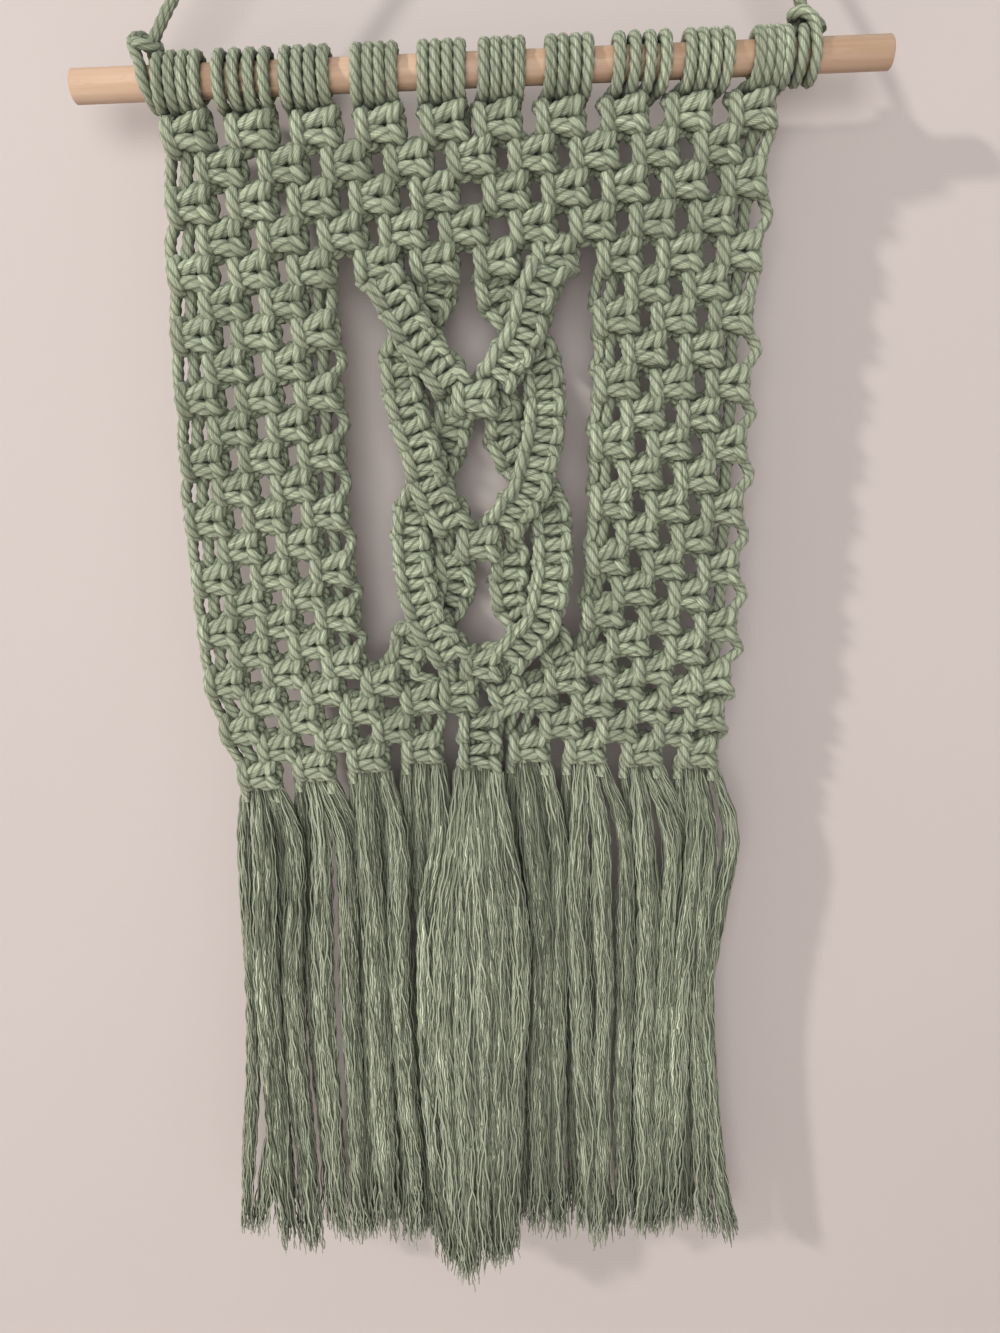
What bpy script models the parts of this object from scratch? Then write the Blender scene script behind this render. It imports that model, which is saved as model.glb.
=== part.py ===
"""Macrame wall hanging on a dowel rod.

Ten groups of folded cords are hitched to the rod and knotted into a net of alternating square
knots. The net parts into two side panels and, between them, four flat square-knot sinnets that
pass in front of and behind each other. Everything gathers again above a combed-out fringe.
Run with: blender --background --python part.py

The origin is the point where the hanging cord rests on its hook. X runs along the width, the front
faces -Y and +Z is up. Sizes below are in millimetres.
"""

import math

import bmesh
import bpy
from mathutils import Matrix, Vector

MM = 0.001

CORD_DIAMETER = 4.6
TOUCHING_GAP = 0.3

DOWEL_DIAMETER = 12.0
DOWEL_LENGTH = 300.0
DOWEL_MIDDLE = Vector((-10.4, 0.0, -154.2))
DOWEL_TILT = math.radians(2.16)
DOWEL_SIDES = 24
DOWEL_EDGE_BEVEL = 0.6

# The lark's heads sit side by side round the rod: the places of each group's first and last turn.
HEAD_GROUPS = (
    (-127.2, -113.9),
    (-105.3, -88.6),
    (-81.2, -67.4),
    (-55.3, -42.6),
    (-31.1, -17.9),
    (-9.0, 3.7),
    (15.2, 28.4),
    (39.9, 56.6),
    (65.6, 79.0),
    (90.6, 100.4),
)
TURNS_IN_GROUP = 4
HEAD_SIDES = 8
HEAD_VALLEY = 1.1
HEAD_EDGE = 2.4

# Odd rows of the net. Each row starts from its outermost knot on either side: where that knot is,
# how far apart the next knots are, and how much each next one lies higher.
ROWS = {
    # row: (left x, left z, pitch, rise, right x, right z, pitch, rise)
    1: (-119.1, -175.4, 23.8, 0.9, 94.8, -167.4, 23.7, -0.9),
    3: (-117.5, -202.2, 22.9, 1.1, 95.9, -192.6, 24.5, -1.1),
    5: (-118.5, -226.5, 22.9, 0.9, 97.0, -218.0, 25.0, -0.9),
    7: (-118.7, -248.0, 23.4, 0.9, 95.9, -240.7, 24.6, -0.3),
    9: (-119.5, -271.7, 23.6, 1.2, 96.1, -265.3, 24.3, 0.3),
    11: (-120.6, -296.2, 23.6, 1.7, 95.7, -288.4, 24.0, 0.8),
    13: (-120.9, -319.9, 23.9, 1.7, 96.2, -313.8, 24.0, 1.3),
    15: (-119.5, -344.4, 24.4, 2.2, 96.1, -338.5, 24.2, 1.9),
    17: (-118.7, -367.5, 24.8, 3.5, 96.5, -363.1, 24.4, 2.8),
    19: (-117.5, -390.4, 25.2, 4.5, 95.0, -386.6, 24.6, 3.6),
    21: (-113.4, -411.7, 26.2, 4.8, 88.8, -404.6, 23.6, 2.9),
    23: (-107.8, -432.2, 23.9, 4.2, 85.6, -423.3, 24.5, 0.9),
}
COLUMNS = 10
LAST_FULL_ROW = 4
PANEL_COLUMNS = 3
FIRST_GATHER_ROW = 20
LAST_ROW = 23

# A square knot: four pairs of cords enter and leave at its corners. across, up
KNOT_RIM = {
    "top_right": (1.6, 5.4),
    "top_left": (-1.6, 5.4),
    "upper_left": (-8.2, 2.6),
    "lower_left": (-8.2, -2.6),
    "bottom_left": (-1.6, -5.4),
    "bottom_right": (1.6, -5.4),
    "lower_right": (8.2, -2.6),
    "upper_right": (8.2, 2.6),
}
RIM_ORDER = tuple(KNOT_RIM)
RIM_DEPTH = 2.3
# Its front: the loop that crosses both bars on the left, the two bars and the groove between them.
KNOT_FRONT = {
    # name: (across, up, out)
    "loop_top": (-5.6, 2.4, 5.5),
    "loop_foot": (-5.6, -2.4, 5.5),
    "upper_bar": (3.5, 3.0, 5.2),
    "lower_bar": (3.5, -2.8, 5.2),
    "groove_left": (-2.4, 0.0, 4.0),
    "groove_right": (6.4, 0.0, 3.2),
}
KNOT_FRONT_FACES = (
    "top_left upper_left loop_top",
    "top_left loop_top upper_bar",
    "top_left upper_bar top_right",
    "top_right upper_bar upper_right",
    "upper_right upper_bar groove_right",
    "upper_bar loop_top groove_left",
    "upper_bar groove_left groove_right",
    "loop_top loop_foot groove_left",
    "upper_left lower_left loop_foot",
    "upper_left loop_foot loop_top",
    "lower_bar groove_left loop_foot",
    "lower_bar groove_right groove_left",
    "lower_right groove_right lower_bar",
    "lower_right upper_right groove_right",
    "bottom_right lower_right lower_bar",
    "bottom_right lower_bar bottom_left",
    "bottom_left lower_bar loop_foot",
    "bottom_left loop_foot lower_left",
)
KNOT_BACK_OUT = 5.0
# Where cords enter and leave: the two rim corners of each way in, anticlockwise.
PORTS = {
    "up_left": ("top_left", "upper_left"),
    "up_right": ("upper_right", "top_right"),
    "down_left": ("lower_left", "bottom_left"),
    "down_right": ("bottom_right", "lower_right"),
    "top": ("top_right", "top_left"),
    "bottom": ("bottom_left", "bottom_right"),
    "left": ("upper_left", "lower_left"),
    "right": ("lower_right", "upper_right"),
}

LADDER_OUT = 8.6
LADDER_HALF_WIDTH = 2.1
SLOT_LADDER_BULGE = 1.6

# The sinnets, from their first knot down. Depth is behind the net's middle when above zero.
SINNETS = {
    # name: ((x, z, depth), ...)
    "outer_left": (
        (-50.0, -221.5, 0.0),
        (-42.8, -234.8, -5.3),
        (-32.3, -251.4, -5.3),
        (-20.9, -266.8, -2.5),
        (-22.2, -281.7, 3.5),
        (-27.2, -293.5, 5.3),
        (-35.5, -307.4, 5.3),
        (-40.7, -319.5, 3.0),
        (-41.3, -329.8, 0.0),
        (-39.7, -347.8, -4.5),
        (-34.6, -361.4, -5.3),
        (-23.4, -373.5, -4.8),
        (-18.9, -384.0, -2.5),
        (-16.6, -397.0, -1.0),
    ),
    "inner_left": (
        (-28.6, -221.2, 0.0),
        (-28.5, -231.2, 4.3),
        (-34.9, -244.0, 5.3),
        (-41.4, -254.0, 5.3),
        (-42.9, -266.4, 2.0),
        (-42.0, -279.8, -3.5),
        (-39.2, -291.5, -5.3),
        (-31.4, -305.4, -5.3),
        (-20.3, -321.5, -2.5),
        (-21.7, -336.0, 2.0),
        (-21.9, -349.4, 4.5),
        (-32.6, -364.9, 5.3),
        (-40.5, -371.5, 4.2),
        (-43.5, -378.5, 2.2),
    ),
    "inner_right": (
        (-2.6, -219.8, 0.0),
        (-0.9, -231.2, 4.3),
        (8.4, -244.0, 5.3),
        (17.6, -256.0, 5.3),
        (19.6, -270.2, 2.0),
        (18.7, -283.7, -3.5),
        (14.8, -295.4, -5.3),
        (8.1, -308.2, -5.3),
        (0.9, -321.5, -2.5),
        (2.6, -338.5, 2.0),
        (1.8, -352.8, 4.5),
        (11.5, -366.6, 5.3),
        (19.6, -371.5, 4.2),
        (23.0, -378.0, 2.2),
    ),
    "outer_right": (
        (21.3, -218.3, 0.0),
        (13.3, -230.9, -5.3),
        (5.7, -248.8, -5.3),
        (-1.9, -263.7, -2.5),
        (1.5, -277.9, 3.5),
        (6.8, -289.5, 5.3),
        (14.9, -303.4, 5.3),
        (19.5, -315.4, 3.0),
        (20.6, -329.8, 0.0),
        (19.2, -346.5, -4.5),
        (14.0, -363.3, -5.3),
        (4.8, -374.9, -4.8),
        (-1.0, -384.0, -2.5),
        (-5.8, -397.0, -1.0),
    ),
}
SINNET_COLUMNS = {"outer_left": 4, "inner_left": 5, "inner_right": 6, "outer_right": 7}
HALF_KNOT_PITCH = 5.6
SINNET_EDGE_DEPTH = 1.7
# half width, half depth of the sinnet across a bar and between two bars
SINNET_BAR = (7.6, 4.6)
SINNET_VALLEY = (6.7, 3.9)
SINNET_TOP_ALLOWANCE = 8.5
# The outer two grow narrower on their last stretch, down to the gather.
TAPER_LENGTH = 24.0
TAPER_TO = 0.62

# Square knots that tie two neighbouring sinnets together: x, z, depth
JOINT_KNOTS = ((-11.3, -270.9, -3.9), (-9.4, -328.4, -3.9), (-9.7, -381.2, -3.7))
JOINT_SIZE = 1.04
JOINT_DEPTH = 1.1

GATHER_KNOTS = ((-11.2, -409.0), (-11.4, -421.5))
GATHER_SIZE = 1.08
GATHER_DEPTH = 1.25
GATHER_FORWARD = -1.0

# Fringe: how far each tuft's centre moves sideways on the way down, and where it ends.
TUFTS = (
    # root: (column side, column), end x, end z
    ("left", 1, -121.0, -686.0),
    ("left", 2, -95.0, -688.0),
    ("left", 3, -68.5, -684.0),
    ("left", 4, -44.0, -690.0),
    ("gather", 0, -15.0, -700.0),
    ("right", 7, 19.0, -684.0),
    ("right", 8, 45.0, -682.0),
    ("right", 9, 72.0, -681.0),
    ("right", 10, 102.0, -688.0),
)
LOCKS_ACROSS = 5
LOCKS_DEEP = 2
CENTRE_LOCKS_ACROSS = 7
ROOT_HEIGHT = 3.0
ROOT_PITCH = 2.7
LOCK_PITCH = 4.7
LOCK_RADIUS = 1.9
LOCK_SIDES = 3
LOCK_SWAY = 0.3
# How far down each ring of a lock lies, as a share of its length, and how full the lock is there.
LOCK_STEPS = (0.0, 0.03, 0.14, 0.42, 0.72, 1.0)
LOCK_FULLNESS = (0.0, 0.66, 1.0, 1.0, 1.0, 0.55)
CENTRE_FORWARD = -8.6
CENTRE_SPREAD = 1.22
LOCK_LENGTH_STEP = 3.1

HANGING_CORD = (
    # x, z
    (-130.0, -145.4),
    (-122.5, -133.2),
    (-99.0, -101.5),
    (-68.0, -64.2),
    (-34.5, -26.2),
    (-12.0, -3.6),
    (0.0, 2.3),
    (10.6, -3.6),
    (28.5, -27.5),
    (55.0, -61.5),
    (80.0, -93.5),
    (99.6, -122.0),
    (106.1, -133.9),
)
HANGING_CORD_POINTS = 60
LEFT_HITCH_TURNS = (-134.4,)
RIGHT_HITCH_TURNS = (105.5, 110.4)
LEFT_HITCH_KNOT = -135.3
RIGHT_HITCH_KNOT = 108.4
HITCH_KNOT_SIZE = (10.5, 10.0, 9.0)
HITCH_TURN_SEGMENTS = 14
HITCH_TURN_SIDES = 6

CORD_GREEN = (0.34, 0.41, 0.28, 1.0)
BIRCH = (0.72, 0.55, 0.40, 1.0)


def clear_scene():
    for old in list(bpy.data.objects):
        bpy.data.objects.remove(old, do_unlink=True)


def material(name, colour, roughness):
    made = bpy.data.materials.new(name)
    made.use_nodes = True
    shader = made.node_tree.nodes["Principled BSDF"]
    shader.inputs["Base Color"].default_value = colour
    shader.inputs["Roughness"].default_value = roughness
    shader.inputs["Metallic"].default_value = 0.0
    return made


def add_object(name, data, look):
    made = bpy.data.objects.new(name, data)
    made.data.materials.append(look)
    bpy.context.scene.collection.objects.link(made)
    return made


def object_from(shape, name, look):
    """Turns a closed bmesh into an object with its faces pointing out."""
    bmesh.ops.recalc_face_normals(shape, faces=shape.faces)
    mesh = bpy.data.meshes.new(name)
    shape.to_mesh(mesh)
    shape.free()
    return add_object(name, mesh, look)


def union(target, helpers):
    """Joins closed helper objects to the target and takes them out of the scene."""
    for helper in helpers:
        helper.hide_render = True
        helper.display_type = "WIRE"
        join = target.modifiers.new("join " + helper.name, "BOOLEAN")
        join.operation = "UNION"
        join.solver = "MANIFOLD"
        join.object = helper


def on_dowel(x):
    """The rod's axis at this x."""
    return DOWEL_MIDDLE + Vector((x - DOWEL_MIDDLE.x, 0.0, (x - DOWEL_MIDDLE.x) * math.tan(DOWEL_TILT)))


def bridge(shape, first, second):
    """Joins two rings of vertices that start at matching places, whatever their counts."""
    i = j = 0
    while i < len(first) or j < len(second):
        next_i = (i + 1) / len(first)
        next_j = (j + 1) / len(second)
        a, b = first[i % len(first)], second[j % len(second)]
        if abs(next_i - next_j) < 1e-9:
            i, j = i + 1, j + 1
            corners = [a, first[i % len(first)], second[j % len(second)], b]
        elif next_i < next_j:
            i += 1
            corners = [a, first[i % len(first)], b]
        else:
            j += 1
            corners = [a, second[j % len(second)], b]
        shape.faces.new(corners)


def spline(points, count):
    """Points along a smooth curve through the given ones, evenly spaced."""
    ends = [2 * points[0] - points[1], *points, 2 * points[-1] - points[-2]]
    fine = []
    for a, b, c, d in zip(ends, ends[1:], ends[2:], ends[3:]):
        for step in range(20):
            t = step / 20
            fine.append(
                0.5
                * (2 * b + (c - a) * t + (2 * a - 5 * b + 4 * c - d) * t**2 + (3 * b - a - 3 * c + d) * t**3)
            )
    fine.append(points[-1].copy())
    lengths = [0.0]
    for a, b in zip(fine, fine[1:]):
        lengths.append(lengths[-1] + (b - a).length)
    even, at = [], 0
    for step in range(count):
        wanted = lengths[-1] * step / (count - 1)
        while at < len(fine) - 2 and lengths[at + 1] < wanted:
            at += 1
        share = (wanted - lengths[at]) / (lengths[at + 1] - lengths[at])
        even.append(fine[at].lerp(fine[at + 1], share))
    return even, lengths[-1]


# ---------------------------------------------------------------- the net


def row_point(side, row, column):
    """Where the knot of this row and column lies, as x and z. Even rows lie between their neighbours."""
    if row % 2 == 0:
        above, below = row_point(side, row - 1, column), row_point(side, row + 1, column)
        return (above[0] + below[0]) / 2, (above[1] + below[1]) / 2
    left_x, left_z, left_pitch, left_rise, right_x, right_z, right_pitch, right_rise = ROWS[row]
    if side == "left":
        return left_x + (column - 1) * left_pitch, left_z + (column - 1) * left_rise
    inward = COLUMNS - column
    return right_x - inward * right_pitch, right_z + inward * right_rise


def columns_of(side, row):
    """The columns of the knots in this row, on this side. Even rows lie half a column over."""
    if row <= LAST_FULL_ROW:
        deep = COLUMNS / 2
    elif row < FIRST_GATHER_ROW:
        deep = PANEL_COLUMNS
    else:
        deep = PANEL_COLUMNS + 1
    count = int(deep) - (row % 2 == 0)
    first = 1.0 if row % 2 else 1.5
    if row in (2, 4) and side == "left":
        count += 1
    if row == LAST_FULL_ROW + 1:
        count = COLUMNS // 2
    columns = [first + n for n in range(count)]
    return columns if side == "left" else [COLUMNS + 1 - column for column in columns]


def knot_places():
    """Every knot of the net: (row, column) and its x and z."""
    places = {}
    for side in ("left", "right"):
        for row in range(1, LAST_ROW + 1):
            for column in columns_of(side, row):
                places[row, column] = row_point(side, row, column)
    for name, column in SINNET_COLUMNS.items():
        x, z, _ = SINNETS[name][0]
        places[LAST_FULL_ROW + 1, column] = (x, z)
    return places


class Knot:
    """A square knot in the net's mesh: its rim in front and behind, and which ways in are taken."""

    def __init__(self, shape, x, z, size=1.0, depth=1.0, forward=0.0, tilt=0.0):
        self.shape = shape
        self.taken = set()

        def point(across, up, out):
            turned_across = across * math.cos(tilt) - up * math.sin(tilt)
            turned_up = across * math.sin(tilt) + up * math.cos(tilt)
            place = Vector((x + size * turned_across, forward + depth * out, z + size * turned_up))
            return shape.verts.new(place * MM)

        self.front = {name: point(*KNOT_RIM[name], -RIM_DEPTH) for name in RIM_ORDER}
        self.back = {name: point(*KNOT_RIM[name], RIM_DEPTH) for name in RIM_ORDER}
        relief = {name: point(across, up, -out) for name, (across, up, out) in KNOT_FRONT.items()}
        corners = {**self.front, **relief}
        for face in KNOT_FRONT_FACES:
            shape.faces.new([corners[name] for name in face.split()])
        middle = point(0.0, 0.0, KNOT_BACK_OUT)
        for name, after in zip(RIM_ORDER, RIM_ORDER[1:] + RIM_ORDER[:1]):
            shape.faces.new([self.back[name], self.back[after], middle])

    def ring(self, port):
        """The four corners of one way in, anticlockwise in front and then back behind."""
        self.taken.add(port)
        first, second = PORTS[port]
        return [self.front[first], self.front[second], self.back[second], self.back[first]]

    def wide_ring(self, end):
        """The eight corners of the knot's whole top or bottom, left to right in front."""
        if end == "top":
            names = ("upper_left", "top_left", "top_right", "upper_right")
            self.taken |= {"up_left", "top", "up_right"}
        else:
            names = ("lower_left", "bottom_left", "bottom_right", "lower_right")
            self.taken |= {"down_left", "bottom", "down_right"}
        return [self.front[name] for name in names] + [self.back[name] for name in reversed(names)]

    def close(self):
        for port in PORTS:
            if port not in self.taken:
                self.shape.faces.new(self.ring(port))


def facing(ring):
    """A ring as it is met from the other side."""
    return [ring[1], ring[0], ring[3], ring[2]]


def link(shape, upper, lower):
    """A pair of cords from one knot's way out to the next knot's way in."""
    bridge(shape, upper, facing(lower))


def ladder(shape, above, below, side, bulge):
    """The two cords that skip a row at an edge: one hangs straight, one runs round the outside."""
    outward = -1.0 if side == "left" else 1.0
    link(shape, above.ring("bottom"), below.ring("top"))
    start = above.ring("down_" + side)
    end = facing(below.ring("up_" + side))
    middle = sum((v.co for v in above.ring("bottom") + below.ring("top")), Vector()) / 8
    out = (LADDER_OUT + bulge) * outward
    ring = []
    for across, depth in ((-1, -1), (1, -1), (1, 1), (-1, 1)):
        offset = Vector((out + across * LADDER_HALF_WIDTH, 0.0, 0.0)) * MM
        offset.y = depth * LADDER_HALF_WIDTH * MM - middle.y
        ring.append(shape.verts.new(middle + offset))
    bridge(shape, start, ring)
    bridge(shape, ring, end)


def lark_head_collar(shape, first_turn, last_turn, knot):
    """One group of turns round the rod, open below where its cords run on into the first knot."""
    bore = (DOWEL_DIAMETER / 2 + TOUCHING_GAP) / math.cos(math.pi / HEAD_SIDES)
    crest = bore + CORD_DIAMETER - 0.4
    step = (last_turn - first_turn) / (TURNS_IN_GROUP - 1)
    profile = [(first_turn - CORD_DIAMETER / 2, crest - HEAD_EDGE)]
    for turn in range(TURNS_IN_GROUP):
        if turn:
            profile.append((first_turn + (turn - 0.5) * step, crest - HEAD_VALLEY))
        profile.append((first_turn + turn * step, crest))
    profile.append((last_turn + CORD_DIAMETER / 2, crest - HEAD_EDGE))
    tilt = Matrix.Rotation(-DOWEL_TILT, 3, "Y")

    def circle(x, radius):
        ring = []
        for n in range(HEAD_SIDES):
            angle = 2 * math.pi * (n + 0.5) / HEAD_SIDES - math.pi / 2
            arm = tilt @ Vector((0.0, radius * math.cos(angle), radius * math.sin(angle)))
            ring.append(shape.verts.new((on_dowel(x) + arm) * MM))
        return ring

    outer = [circle(x, radius) for x, radius in profile]
    ends = [circle(profile[0][0], bore), circle(profile[-1][0], bore)]
    for ring, after in zip(outer, outer[1:]):
        for n in range(HEAD_SIDES - 1):
            shape.faces.new([ring[n], ring[n + 1], after[n + 1], after[n]])
    bridge(shape, outer[0], ends[0])
    bridge(shape, outer[-1], ends[-1])
    bridge(shape, ends[0], ends[1])
    behind, in_front = 0, HEAD_SIDES - 1
    below = [ring[in_front] for ring in outer] + [ring[behind] for ring in reversed(outer)]
    bridge(shape, below, knot.wide_ring("top"))


def sinnet(shape, points, head, tapers):
    """A flat chain of square knots. Returns its last ring: left, middle and right in front, then back."""
    path = [Vector((x, depth, z)) for x, z, depth in points]
    _, length = spline(path, 2)
    count = round(length / HALF_KNOT_PITCH) + 1
    places, _ = spline(path, count)
    ring = head.wide_ring("bottom")
    for n in range(1, count):
        here = places[n]
        if (here - places[0]).length < SINNET_TOP_ALLOWANCE:
            continue
        along = places[min(n + 1, count - 1)] - places[n - 1]
        across = Vector((-along.z, 0.0, along.x)).normalized()
        half_width, half_depth = SINNET_BAR if n % 2 else SINNET_VALLEY
        if tapers:
            tapered = max(0.0, 1.0 - length * (1.0 - n / (count - 1)) / TAPER_LENGTH)
            half_width *= 1.0 - (1.0 - TAPER_TO) * tapered
        section = []
        for side, depth in ((-1, -1), (0, -1), (1, -1), (1, 1), (0, 1), (-1, 1)):
            out = half_depth if side == 0 else SINNET_EDGE_DEPTH
            place = here + across * (side * half_width) + Vector((0.0, depth * out, 0.0))
            section.append(shape.verts.new(place * MM))
        bridge(shape, ring, section)
        ring = section
    return ring


def split_end(shape, ring, left_knot, left_port, right_knot, right_port):
    """Parts a sinnet's last ring into its two pairs of cords."""
    left = [ring[0], ring[1], ring[4], ring[5]]
    right = [ring[1], ring[2], ring[3], ring[4]]
    bridge(shape, left, facing(left_knot.ring(left_port)))
    bridge(shape, right, facing(right_knot.ring(right_port)))


def link_rows(shape, knots):
    """Joins each knot to those below it, and runs the edge cords past the rows that leave them out."""
    for (row, column), knot in knots.items():
        if row == LAST_ROW or (row == LAST_FULL_ROW + 1 and column in SINNET_COLUMNS.values()):
            continue
        for side, shift, facing_port in (("left", -0.5, "up_right"), ("right", 0.5, "up_left")):
            below = knots.get((row + 1, column + shift))
            if below:
                link(shape, knot.ring("down_" + side), below.ring(facing_port))
            elif (row + 2, column) in knots:
                bulge = 0.0 if column in (1, COLUMNS) else SLOT_LADDER_BULGE
                ladder(shape, knot, knots[row + 2, column], side, bulge)


def build_net(look):
    shape = bmesh.new()
    places = knot_places()
    knots = {at: Knot(shape, *places[at]) for at in sorted(places)}
    for column, (first_turn, last_turn) in enumerate(HEAD_GROUPS, start=1):
        lark_head_collar(shape, first_turn, last_turn, knots[1, column])
    link_rows(shape, knots)
    ends = {
        name: sinnet(
            shape, points, knots[LAST_FULL_ROW + 1, SINNET_COLUMNS[name]], name.startswith("outer")
        )
        for name, points in SINNETS.items()
    }
    inner = PANEL_COLUMNS + 1
    outer = COLUMNS - PANEL_COLUMNS
    row = FIRST_GATHER_ROW
    split_end(
        shape, ends["inner_left"], knots[row, inner - 0.5], "up_right", knots[row + 1, inner], "up_right"
    )
    split_end(
        shape, ends["inner_right"], knots[row + 1, outer], "up_left", knots[row, outer + 0.5], "up_left"
    )
    size = {"size": GATHER_SIZE, "depth": GATHER_DEPTH, "forward": GATHER_FORWARD}
    upper, lower = (Knot(shape, x, z, **size) for x, z in GATHER_KNOTS)
    bridge(shape, ends["outer_left"], facing(upper.ring("up_left")))
    bridge(shape, ends["outer_right"], facing(upper.ring("up_right")))
    bridge(shape, upper.wide_ring("bottom"), lower.wide_ring("top"))
    for knot in [*knots.values(), upper, lower]:
        knot.close()
    net = object_from(shape, "knotted_net", look)
    helpers = []
    for n, (x, z, forward) in enumerate(JOINT_KNOTS):
        block = bmesh.new()
        Knot(block, x, z, size=JOINT_SIZE, depth=JOINT_DEPTH, forward=forward).close()
        helpers.append(object_from(block, f"joint_knot_{n}", look))
    union(net, helpers)
    return net


# ---------------------------------------------------------------- fringe


def lock_path(root, end, place_across, place_deep, centre, turn):
    """The middle line of one lock from its root to its tip."""
    spread = CENTRE_SPREAD if centre else 1.0
    length_change = LOCK_LENGTH_STEP * math.sin(2.4 * turn)
    path = []
    for share in LOCK_STEPS:
        opened = min(1.0, share / LOCK_STEPS[2])
        pitch = ROOT_PITCH + (LOCK_PITCH * spread - ROOT_PITCH) * opened
        depth = (CENTRE_FORWARD if centre else 0.0) * min(1.0, share / LOCK_STEPS[2])
        sway = LOCK_SWAY * math.sin(1.7 * turn + 9.0 * share) * opened
        path.append(
            Vector(
                (
                    root.x + (end.x - root.x) * share + place_across * pitch + sway,
                    root.y + depth + place_deep * pitch,
                    root.z + (end.z + length_change - root.z) * share,
                )
            )
        )
    return path


def build_tuft(number, root, end, across, centre, look):
    """A narrow root strip with its locks, which hang apart from each other."""
    shape = bmesh.new()

    def strip_layer(z):
        return [
            [
                shape.verts.new(
                    Vector(
                        (
                            root.x + (n - across / 2) * ROOT_PITCH,
                            root.y + (m - LOCKS_DEEP / 2) * ROOT_PITCH,
                            z,
                        )
                    )
                    * MM
                )
                for n in range(across + 1)
            ]
            for m in range(LOCKS_DEEP + 1)
        ]

    def cell(layer, n, m):
        return [layer[m][n], layer[m][n + 1], layer[m + 1][n + 1], layer[m + 1][n]]

    top, foot = strip_layer(root.z), strip_layer(root.z - ROOT_HEIGHT)
    start = root - Vector((0.0, 0.0, ROOT_HEIGHT))
    for m in range(LOCKS_DEEP):
        for n in range(across):
            shape.faces.new(cell(top, n, m))
            turn = n + across * m + 5 * number
            place_across = n - (across - 1) / 2
            place_deep = m - (LOCKS_DEEP - 1) / 2
            path = lock_path(start, end, place_across, place_deep, centre, turn)
            ring = cell(foot, n, m)
            for step, here in enumerate(path):
                if step == 0:
                    continue
                radius = LOCK_RADIUS * LOCK_FULLNESS[step]
                section = []
                for k in range(LOCK_SIDES):
                    angle = 2 * math.pi * k / LOCK_SIDES - 0.75 * math.pi
                    arm = Vector((math.cos(angle), math.sin(angle), 0.0)) * radius
                    section.append(shape.verts.new((here + arm) * MM))
                bridge(shape, ring, section)
                ring = section
            shape.faces.new(ring)
    outline = [(n, 0) for n in range(across)]
    outline += [(across, m) for m in range(LOCKS_DEEP)]
    outline += [(across - n, LOCKS_DEEP) for n in range(across)]
    outline += [(0, LOCKS_DEEP - m) for m in range(LOCKS_DEEP)]
    bridge(shape, [top[m][n] for n, m in outline], [foot[m][n] for n, m in outline])
    return object_from(shape, f"fringe_{number}", look)


def build_fringe(look):
    for number, (side, column, end_x, end_z) in enumerate(TUFTS, start=1):
        centre = side == "gather"
        if centre:
            x, z = GATHER_KNOTS[-1]
            foot = z - KNOT_RIM["top_left"][1] * GATHER_SIZE
            root = Vector((x, GATHER_FORWARD, foot - TOUCHING_GAP))
        else:
            x, z = row_point(side, LAST_ROW, column)
            root = Vector((x, 0.0, z - KNOT_RIM["top_left"][1] - TOUCHING_GAP))
        across = CENTRE_LOCKS_ACROSS if centre else LOCKS_ACROSS
        build_tuft(number, root, Vector((end_x, 0.0, end_z)), across, centre, look)


# ---------------------------------------------------------------- rod and hanging cord


def build_dowel(look):
    shape = bmesh.new()
    bmesh.ops.create_cone(
        shape,
        cap_ends=True,
        segments=DOWEL_SIDES,
        radius1=DOWEL_DIAMETER / 2 * MM,
        radius2=DOWEL_DIAMETER / 2 * MM,
        depth=DOWEL_LENGTH * MM,
    )
    dowel = object_from(shape, "dowel", look)
    dowel.location = DOWEL_MIDDLE * MM
    dowel.rotation_euler = (0.0, math.pi / 2 - DOWEL_TILT, 0.0)
    edge = dowel.modifiers.new("eased ends", "BEVEL")
    edge.width = DOWEL_EDGE_BEVEL * MM
    edge.segments = 1
    edge.limit_method = "ANGLE"
    edge.angle_limit = math.radians(60)
    dowel.data.shade_smooth()
    dowel.data.set_sharp_from_angle(angle=math.radians(40))


def hitch_turn(name, x, look):
    """One turn of the hanging cord round the rod."""
    shape = bmesh.new()
    axis_radius = DOWEL_DIAMETER / 2 / math.cos(math.pi / HITCH_TURN_SEGMENTS) + TOUCHING_GAP
    axis_radius += CORD_DIAMETER / 2
    tilt = Matrix.Rotation(-DOWEL_TILT, 3, "Y")
    rings = []
    for n in range(HITCH_TURN_SEGMENTS):
        round_rod = 2 * math.pi * n / HITCH_TURN_SEGMENTS
        ring = []
        for k in range(HITCH_TURN_SIDES):
            round_cord = 2 * math.pi * k / HITCH_TURN_SIDES
            radius = axis_radius + CORD_DIAMETER / 2 * math.cos(round_cord)
            arm = Vector(
                (
                    CORD_DIAMETER / 2 * math.sin(round_cord),
                    radius * math.cos(round_rod),
                    radius * math.sin(round_rod),
                )
            )
            ring.append(shape.verts.new((on_dowel(x) + tilt @ arm) * MM))
        rings.append(ring)
    for ring, after in zip(rings, rings[1:] + rings[:1]):
        bridge(shape, ring, after)
    return object_from(shape, name, look)


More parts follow.
